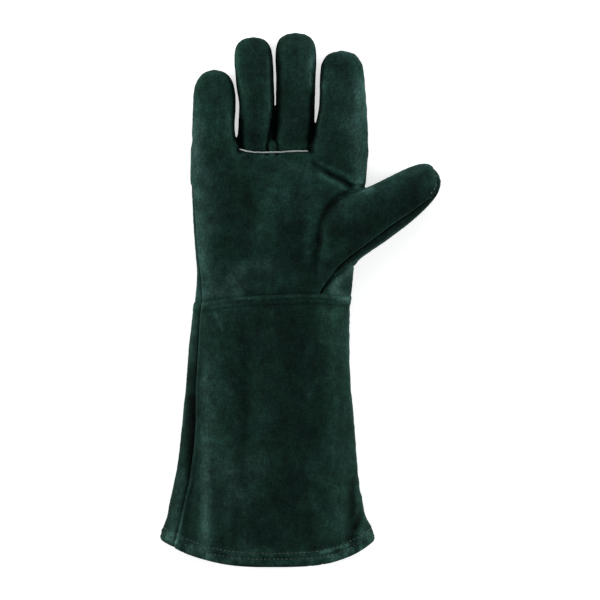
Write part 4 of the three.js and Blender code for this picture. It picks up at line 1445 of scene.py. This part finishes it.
@functools.cache
def stitch_row():
    """Node tree that lays rounded stitches end to end along a line."""
    tree = bpy.data.node_groups.new("stitch_row", "GeometryNodeTree")
    face = tree.interface
    face.new_socket("Line", in_out="INPUT", socket_type="NodeSocketGeometry")
    for label in ("Pitch", "Stitch", "Radius"):
        face.new_socket(label, in_out="INPUT", socket_type="NodeSocketFloat")
    face.new_socket("Seed", in_out="INPUT", socket_type="NodeSocketInt")
    face.new_socket("Thread", in_out="INPUT", socket_type="NodeSocketMaterial")
    face.new_socket("Stitches", in_out="OUTPUT", socket_type="NodeSocketGeometry")
    given, result = tree.nodes.new("NodeGroupInput"), tree.nodes.new("NodeGroupOutput")
    curve = wired(tree, "GeometryNodeMeshToCurve", {"Mesh": given.outputs["Line"]})
    spaced = wired(tree, "GeometryNodeResampleCurve",
                   {"Curve": curve.outputs[0], "Length": given.outputs["Pitch"]}, mode="LENGTH")
    ball = wired(tree, "GeometryNodeMeshIcoSphere", {"Radius": 1.0, "Subdivisions": 2})
    ahead = wired(tree, "GeometryNodeInputTangent")
    turn = wired(tree, "FunctionNodeAlignRotationToVector", {"Vector": ahead.outputs[0]},
                 axis="X")
    vary = wired(tree, "FunctionNodeRandomValue",
                 {"Min": STITCH_VARIES[0], "Max": STITCH_VARIES[1], "Seed": given.outputs["Seed"]},
                 data_type="FLOAT")
    half = maths(tree, "MULTIPLY", maths(tree, "MULTIPLY", given.outputs["Stitch"], 0.5),
                 vary.outputs[1])
    size = wired(tree, "ShaderNodeCombineXYZ", {
        "X": half, "Y": given.outputs["Radius"], "Z": given.outputs["Radius"]})
    placed = wired(tree, "GeometryNodeInstanceOnPoints", {
        "Points": spaced.outputs[0], "Instance": ball.outputs["Mesh"],
        "Rotation": turn.outputs[0], "Scale": size.outputs[0]})
    real = wired(tree, "GeometryNodeRealizeInstances", {"Geometry": placed.outputs[0]})
    dressed = wired(tree, "GeometryNodeSetMaterial", {
        "Geometry": real.outputs[0], "Material": given.outputs["Thread"]})
    tree.links.new(dressed.outputs[0], result.inputs["Stitches"])
    return tree


def stitches_along(name, line, closed, trim, material, seed):
    """A row of stitches along a line given in millimetres."""
    count = len(line)
    mesh = bpy.data.meshes.new(name)
    links = [(k, (k + 1) % count) for k in range(count if closed else count - 1)]
    mesh.from_pydata((line * MM).tolist(), links, [])
    guide = bpy.data.objects.new(name, mesh)
    bpy.context.scene.collection.objects.link(guide)
    tree = stitch_row()
    modifier = guide.modifiers.new("stitches", "NODES")
    modifier.node_group = tree
    values = {"Pitch": trim.pitch, "Stitch": trim.stitch, "Radius": trim.thread_radius,
              "Seed": seed, "Thread": material}
    for socket in tree.interface.items_tree:
        if socket.item_type == "SOCKET" and socket.name in values:
            modifier[socket.identifier] = values[socket.name]
    bpy.context.view_layer.update()
    shape = guide.evaluated_get(bpy.context.evaluated_depsgraph_get())
    plain = bpy.data.meshes.new_from_object(shape)
    guide.modifiers.clear()
    guide.data = plain
    bpy.data.meshes.remove(mesh)
    plain.shade_smooth()
    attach(guide, "root")


def evened(line, closed, rounds):
    """Smooths a line of points. An open line keeps its ends."""
    for _ in range(rounds):
        before, after = np.roll(line, 1, axis=0), np.roll(line, -1, axis=0)
        mean = (before + 2 * line + after) / 4
        if not closed:
            mean[[0, -1]] = line[[0, -1]]
        line = mean
    return line


def spread_along(line, count):
    """Evenly spaced places along a smooth line through the points, in plan."""
    line = np.asarray(line, float)
    run = np.concatenate([[0], np.cumsum(np.linalg.norm(np.diff(line, axis=0), axis=1))])
    at = np.linspace(0, run[-1], count)
    return np.column_stack([column({"y": run, "v": line[:, k]}, "v", at) for k in range(2)])


def tops_at(points, line, reach):
    """Height of the highest point near each place of a line in plan."""
    return np.array([points[np.hypot(*(points[:, :2] - place).T) < reach][:, 2].max()
                     for place in line])


def tube_along(path, radius, sides):
    """Points and faces of a closed tube along a path, with rounded ends."""
    ahead = unit(np.gradient(path, axis=0))
    side = unit(np.cross(ahead, (0.0, 0.0, 1.0)))
    above = np.cross(side, ahead)
    share = np.linspace(0, 1, len(path))
    ends = np.clip(np.minimum(share, 1 - share) * len(path) / TUBE_END, 0, 1)
    size = radius * np.sqrt(np.clip(1 - (1 - ends) ** 2, TUBE_END_LEAST, 1))
    turn = np.linspace(0, 2 * math.pi, sides, endpoint=False)
    ring = (side[:, None] * np.cos(turn)[None, :, None]
            + above[:, None] * np.sin(turn)[None, :, None])
    points = path[:, None] + ring * size[:, None, None]
    rows = np.arange(len(path) - 1)[:, None] * sides
    k = np.arange(sides)[None, :]
    after = (k + 1) % sides
    a, b = rows + k, rows + after
    c, d = b + sides, a + sides
    faces = np.concatenate([np.stack([a, b, c], -1).reshape(-1, 3),
                            np.stack([a, c, d], -1).reshape(-1, 3)])
    count = len(path) * sides
    last = count - sides
    k = np.arange(sides)
    after = (k + 1) % sides
    caps = np.concatenate([
        np.stack([np.full(sides, count), after, k], axis=1),
        np.stack([np.full(sides, count + 1), last + k, last + after], axis=1),
    ])
    points = np.concatenate([points.reshape(-1, 3), path[[0, -1]]])
    return points, np.concatenate([faces, caps])


def colour_setting(name, description, default):
    """A colour in the panel."""
    return FloatVectorProperty(name=name, description=description, subtype="COLOR", size=3,
                               min=0, max=1, default=default)


def length_setting(name, description, default, least):
    """A length in the panel, in metres."""
    return FloatProperty(name=name, description=description, default=default, min=least,
                         unit="LENGTH")


class GloveLeather(bpy.types.PropertyGroup):
    """Fineness and colours of the leather."""

    cell: length_setting("Cell", "Fineness of the leather's mesh", 0.00115, 0.0008)
    hand_colour: colour_setting("Hand", "Suede of the hand", (0.0048, 0.0182, 0.0130))
    hand_cool: colour_setting("Hand, cool", "Cooler patches of the hand",
                              (0.0052, 0.0172, 0.0145))
    # greyer colour where the hand's nap carries painted highlights, and where it is rubbed
    hand_rubbed: colour_setting("Hand, rubbed", "Greyer nap where the hand is rubbed",
                                (0.0078, 0.0180, 0.0157))
    cuff_colour: colour_setting("Cuff", "Suede of the cuff", (0.0043, 0.0160, 0.0109))
    cuff_cool: colour_setting("Cuff, cool", "Cooler patches of the cuff",
                              (0.0046, 0.0151, 0.0122))
    # greyer colour where the cuff's nap carries painted highlights, and where it is rubbed
    cuff_rubbed: colour_setting("Cuff, rubbed", "Greyer nap where the cuff is rubbed",
                                (0.0065, 0.0158, 0.0134))
    sheen: FloatProperty(
        name="Sheen", description="How much the nap lights up at the edges", default=0.15,
        min=0, max=1)


class GloveTrim(bpy.types.PropertyGroup):
    """Sizes and colours of the welt and the thread."""

    welt_colour: colour_setting("Welt", "Piping at the base of the two middle fingers",
                                (0.28, 0.31, 0.30))
    welt_radius: length_setting("Welt radius", "Half the piping's thickness", 0.00058, 0.0003)
    thread_colour: colour_setting("Thread", "Clean sewing thread", (0.070, 0.105, 0.090))
    worn_colour: colour_setting("Worn thread", "Thread of the hem, with nap rubbed into it",
                                (0.024, 0.042, 0.034))
    thread_radius: length_setting("Thread radius", "Half the thread's thickness", 0.00042,
                                  0.0001)
    stitch: length_setting("Stitch", "Length of a stitch", 0.0026, 0.001)
    pitch: length_setting("Pitch", "From one stitch to the next", 0.0036, 0.001)


class GloveStage(bpy.types.PropertyGroup):
    """The floor, the light and the camera."""

    floor_colour: colour_setting("Floor", "White floor", (0.8, 0.8, 0.8))
    floor_glow: FloatProperty(
        name="Glow", description="Light from inside the white floor", default=0.6, min=0)
    world: FloatProperty(
        name="Surroundings", description="Light from all round", default=0.25, min=0)
    lens: FloatProperty(
        name="Lens", description="Focal length in millimetres", default=400, min=20)
    frame_width: length_setting("Frame", "Width of the floor that the picture takes in", 0.5142,
                                0.1)


def leather_pieces(context, part, names):
    """The named pieces of leather, in the suede of the hand or the cuff."""
    leather = context.scene.glove_leather
    # rubbed stands for the greyer colour of painted highlights and rubbed nap
    colours = [tuple(getattr(leather, f"{part}_{kind}")) for kind in ("colour", "cool", "rubbed")]
    material = suede(f"{part}_suede", *colours, leather.sheen)
    for name in names:
        leather_piece(name, leather.cell / MM, material)


class GLOVE_OT_hand_front(bpy.types.Operator):
    """Palm with the fronts of the outer fingers and the thumb, and two set-in finger fronts"""

    bl_idname = "glove.hand_front"
    bl_label = "Hand front"

    def execute(self, context):
        leather_pieces(context, "hand",
                       ("palm_panel", "ring_finger_front", "middle_finger_front"))
        return {"FINISHED"}


class GLOVE_OT_side_strips(bpy.types.Operator):
    """The three forked strips between neighbouring fingers"""

    bl_idname = "glove.side_strips"
    bl_label = "Side strips"

    def execute(self, context):
        leather_pieces(context, "hand", FORKS)
        return {"FINISHED"}


class GLOVE_OT_hand_back(bpy.types.Operator):
    """Back of the hand and fingers, and back of the thumb"""

    bl_idname = "glove.hand_back"
    bl_label = "Hand back"

    def execute(self, context):
        leather_pieces(context, "hand", ("back_panel", "thumb_back"))
        return {"FINISHED"}


class GLOVE_OT_cuff(bpy.types.Operator):
    """Front and back of the flared cuff with its turned hem"""

    bl_idname = "glove.cuff"
    bl_label = "Cuff"

    def execute(self, context):
        leather_pieces(context, "cuff", ("cuff_front", "cuff_back"))
        return {"FINISHED"}


class GLOVE_OT_welt(bpy.types.Operator):
    """White piping in the seam at the base of the two middle fingers"""

    bl_idname = "glove.welt"
    bl_label = "Welt"

    def execute(self, context):
        trim = context.scene.glove_trim
        palm = glove_leather(context.scene.glove_leather.cell / MM)["palm_panel"]["outer"]
        line = spread_along(WELT_LINE, WELT_SPREAD)
        radius = trim.welt_radius / MM
        height = tops_at(palm, line - WELT_BACK, WELT_TOP_REACH)
        path = evened(np.column_stack([line, height]), False, WELT_SMOOTHING)
        path[:, 2] -= WELT_DEPTH * radius
        points, faces = tube_along(path, radius, WELT_SIDES)
        uneven, size, seed, axes = WELT_UNEVEN
        points += uneven * mottle(points, size, seed)[:, None] * np.array(axes)
        material = plain_material("welt_cloth", tuple(trim.welt_colour), roughness=0.9,
                                  grain=0.0012, depth=0.0002, uneven=0.25)
        piece = fine_mesh("welt_piping", points, faces, material)
        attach(piece, "root")
        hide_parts("welt")
        return {"FINISHED"}


def hem_lines(cell, lift):
    """A line round the hem for each row of stitches, raised off the cuff's leather."""
    pieces = glove_leather(cell)
    cuff = [pieces["cuff_front"], pieces["cuff_back"]]
    outer, start, hem = (np.concatenate([part[key] for part in cuff])
                         for key in ("outer", "start", "hem"))
    normals = np.concatenate([point_normals(part["outer"], part["faces"]) for part in cuff])
    skin = glove_skin(cell)
    edge = skin["points"][chained(boundary_of(skin["faces"]))]
    lines = []
    for row in HEM_ROWS:
        near = np.abs(hem - row) < ROW_NEAR
        _, found = nearest_to(edge, start[near], ANYWHERE)
        line = outer[near][found] + normals[near][found] * lift
        lines.append(evened(line, True, STITCH_SMOOTHING))
    return lines


def tip_line(cell, lift):
    """Line round the thumb's tip, raised off its leather."""
    line = spread_along(TIP_STITCHES, TIP_SPREAD)
    pieces = glove_leather(cell)
    thumb = np.concatenate([pieces[name]["outer"] for name in ("palm_panel", "thumb_back")])
    height = tops_at(thumb, line, TIP_TOP_REACH) + lift
    return evened(np.column_stack([line, height]), False, STITCH_SMOOTHING)


def loose_line(cell, lift):
    """Line of the loose thread end, raised off the cuff's leather."""
    tail = spread_along(LOOSE_THREAD, LOOSE_SPREAD)
    pieces = glove_leather(cell)
    outer = np.concatenate([pieces[name]["outer"] for name in ("cuff_front", "cuff_back")])
    level = np.full(len(tail), LOOSE_FROM_Z)
    _, found = nearest_to(np.column_stack([tail, level]), outer, ANYWHERE)
    height = outer[found][:, 2] + lift
    return evened(np.column_stack([tail, height]), False, LOOSE_SMOOTHING)


class GLOVE_OT_stitches(bpy.types.Operator):
    """Two rows of stitches round the hem, one round the thumb's tip, and a loose thread end"""

    bl_idname = "glove.stitches"
    bl_label = "Stitches"

    def execute(self, context):
        trim = context.scene.glove_trim
        cell = context.scene.glove_leather.cell / MM
        radius = trim.thread_radius / MM
        worn = plain_material("worn_thread", tuple(trim.worn_colour), roughness=0.8,
                              grain=0.005, depth=0.0001, uneven=0.7)
        clean = plain_material("sewing_thread", tuple(trim.thread_colour), roughness=0.8,
                               grain=0.005, depth=0.0001, uneven=0.4)
        for k, line in enumerate(hem_lines(cell, STITCH_LIFT * radius)):
            stitches_along(f"hem_stitches_{k + 1}", line, True, trim, worn, k)
        line = tip_line(cell, STITCH_LIFT * radius)
        stitches_along("thumb_tip_stitches", line, False, trim, clean, 7)
        points, faces = tube_along(loose_line(cell, LOOSE_LIFT * radius), radius, THREAD_SIDES)
        piece = fine_mesh("loose_thread_end", points, faces, worn)
        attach(piece, "root")
        return {"FINISHED"}


# The stage, in metres: half the floor's side, how far the floor lies below the glove, and how far
# the camera stands off the middle, as the glove does in the photo
FLOOR_REACH = 30.0
FLOOR_Z = -0.0002
CAMERA_Y = -0.00064
DAYLIGHT = (0.96, 0.98, 1, 1)

# Lights: name, where each shines from, strength, and width of its source in degrees
LIGHTS = (
    ("left", (-1.0, 0.15, 0.25), 4.0, 30),
    ("right", (1.0, 0.2, 0.22), 4.0, 30),
    ("head", (0.1, 1.0, 0.4), 1.4, 60),
)


class GLOVE_OT_stage(bpy.types.Operator):
    """White floor, soft studio light, and the camera straight above the glove"""

    bl_idname = "glove.stage"
    bl_label = "Stage"

    def execute(self, context):
        stage = context.scene.glove_stage
        scene = context.scene
        scene.view_settings.view_transform = "Standard"
        mesh = bpy.data.meshes.new("floor")
        corners = block(-FLOOR_REACH, FLOOR_REACH, -FLOOR_REACH, FLOOR_REACH)
        mesh.from_pydata([(*corner, 0) for corner in corners], [], [(0, 1, 2, 3)])
        floor = bpy.data.objects.new("floor", mesh)
        scene.collection.objects.link(floor)
        floor.location.z = FLOOR_Z
        mesh.materials.append(plain_material(
            "floor_paper", tuple(stage.floor_colour), roughness=0.9, grain=0.004, depth=0.00002,
            uneven=0.02, glow=stage.floor_glow))

        camera = bpy.data.objects.new("camera", bpy.data.cameras.new("camera"))
        camera.data.lens = stage.lens
        away = stage.frame_width * stage.lens / camera.data.sensor_width
        camera.location = (0, CAMERA_Y, SIDE_SEAM_Z * MM + away)
        scene.collection.objects.link(camera)
        scene.camera = camera

        world = bpy.data.worlds.new("studio")
        world.use_nodes = True
        background = world.node_tree.nodes["Background"]
        background.inputs["Color"].default_value = DAYLIGHT
        background.inputs["Strength"].default_value = stage.world
        scene.world = world
        for name, source, strength, spread in LIGHTS:
            light = bpy.data.objects.new(name, bpy.data.lights.new(name, "SUN"))
            light.data.energy = strength
            light.data.angle = math.radians(spread)
            light.location = source
            light.rotation_euler = (-Vector(source)).to_track_quat("-Z", "Y").to_euler()
            scene.collection.objects.link(light)
        return {"FINISHED"}


CLASSES = (
    GloveLeather,
    GloveTrim,
    GloveStage,
    GLOVE_OT_hand_front,
    GLOVE_OT_side_strips,
    GLOVE_OT_hand_back,
    GLOVE_OT_cuff,
    GLOVE_OT_welt,
    GLOVE_OT_stitches,
    GLOVE_OT_stage,
)


class GLOVE_PT_panel(bpy.types.Panel):
    """Sizes, colours and steps of the glove"""

    bl_label = "Welding Glove"
    bl_idname = "GLOVE_PT_panel"
    bl_space_type = "VIEW_3D"
    bl_region_type = "UI"
    bl_category = "Glove"

    def draw(self, context):
        for owner in (context.scene.glove_leather, context.scene.glove_trim,
                      context.scene.glove_stage):
            box = self.layout.box()
            for key in owner.__annotations__:
                box.prop(owner, key)
        for cls in CLASSES:
            if issubclass(cls, bpy.types.Operator):
                self.layout.operator(cls.bl_idname)


def register():
    """Adds the add-on's classes and settings."""
    for cls in (*CLASSES, GLOVE_PT_panel):
        bpy.utils.register_class(cls)
    bpy.types.Scene.glove_leather = PointerProperty(type=GloveLeather)
    bpy.types.Scene.glove_trim = PointerProperty(type=GloveTrim)
    bpy.types.Scene.glove_stage = PointerProperty(type=GloveStage)


def unregister():
    """Takes the add-on's classes and settings away."""
    del bpy.types.Scene.glove_leather
    del bpy.types.Scene.glove_trim
    del bpy.types.Scene.glove_stage
    for cls in reversed((*CLASSES, GLOVE_PT_panel)):
        bpy.utils.unregister_class(cls)


def main():
    """Builds the glove."""
    register()
    bpy.ops.glove.stage()
    bpy.ops.glove.hand_front()
    bpy.ops.glove.side_strips()
    bpy.ops.glove.hand_back()
    bpy.ops.glove.cuff()
    bpy.ops.glove.welt()
    bpy.ops.glove.stitches()


if __name__ == "__main__":
    main()
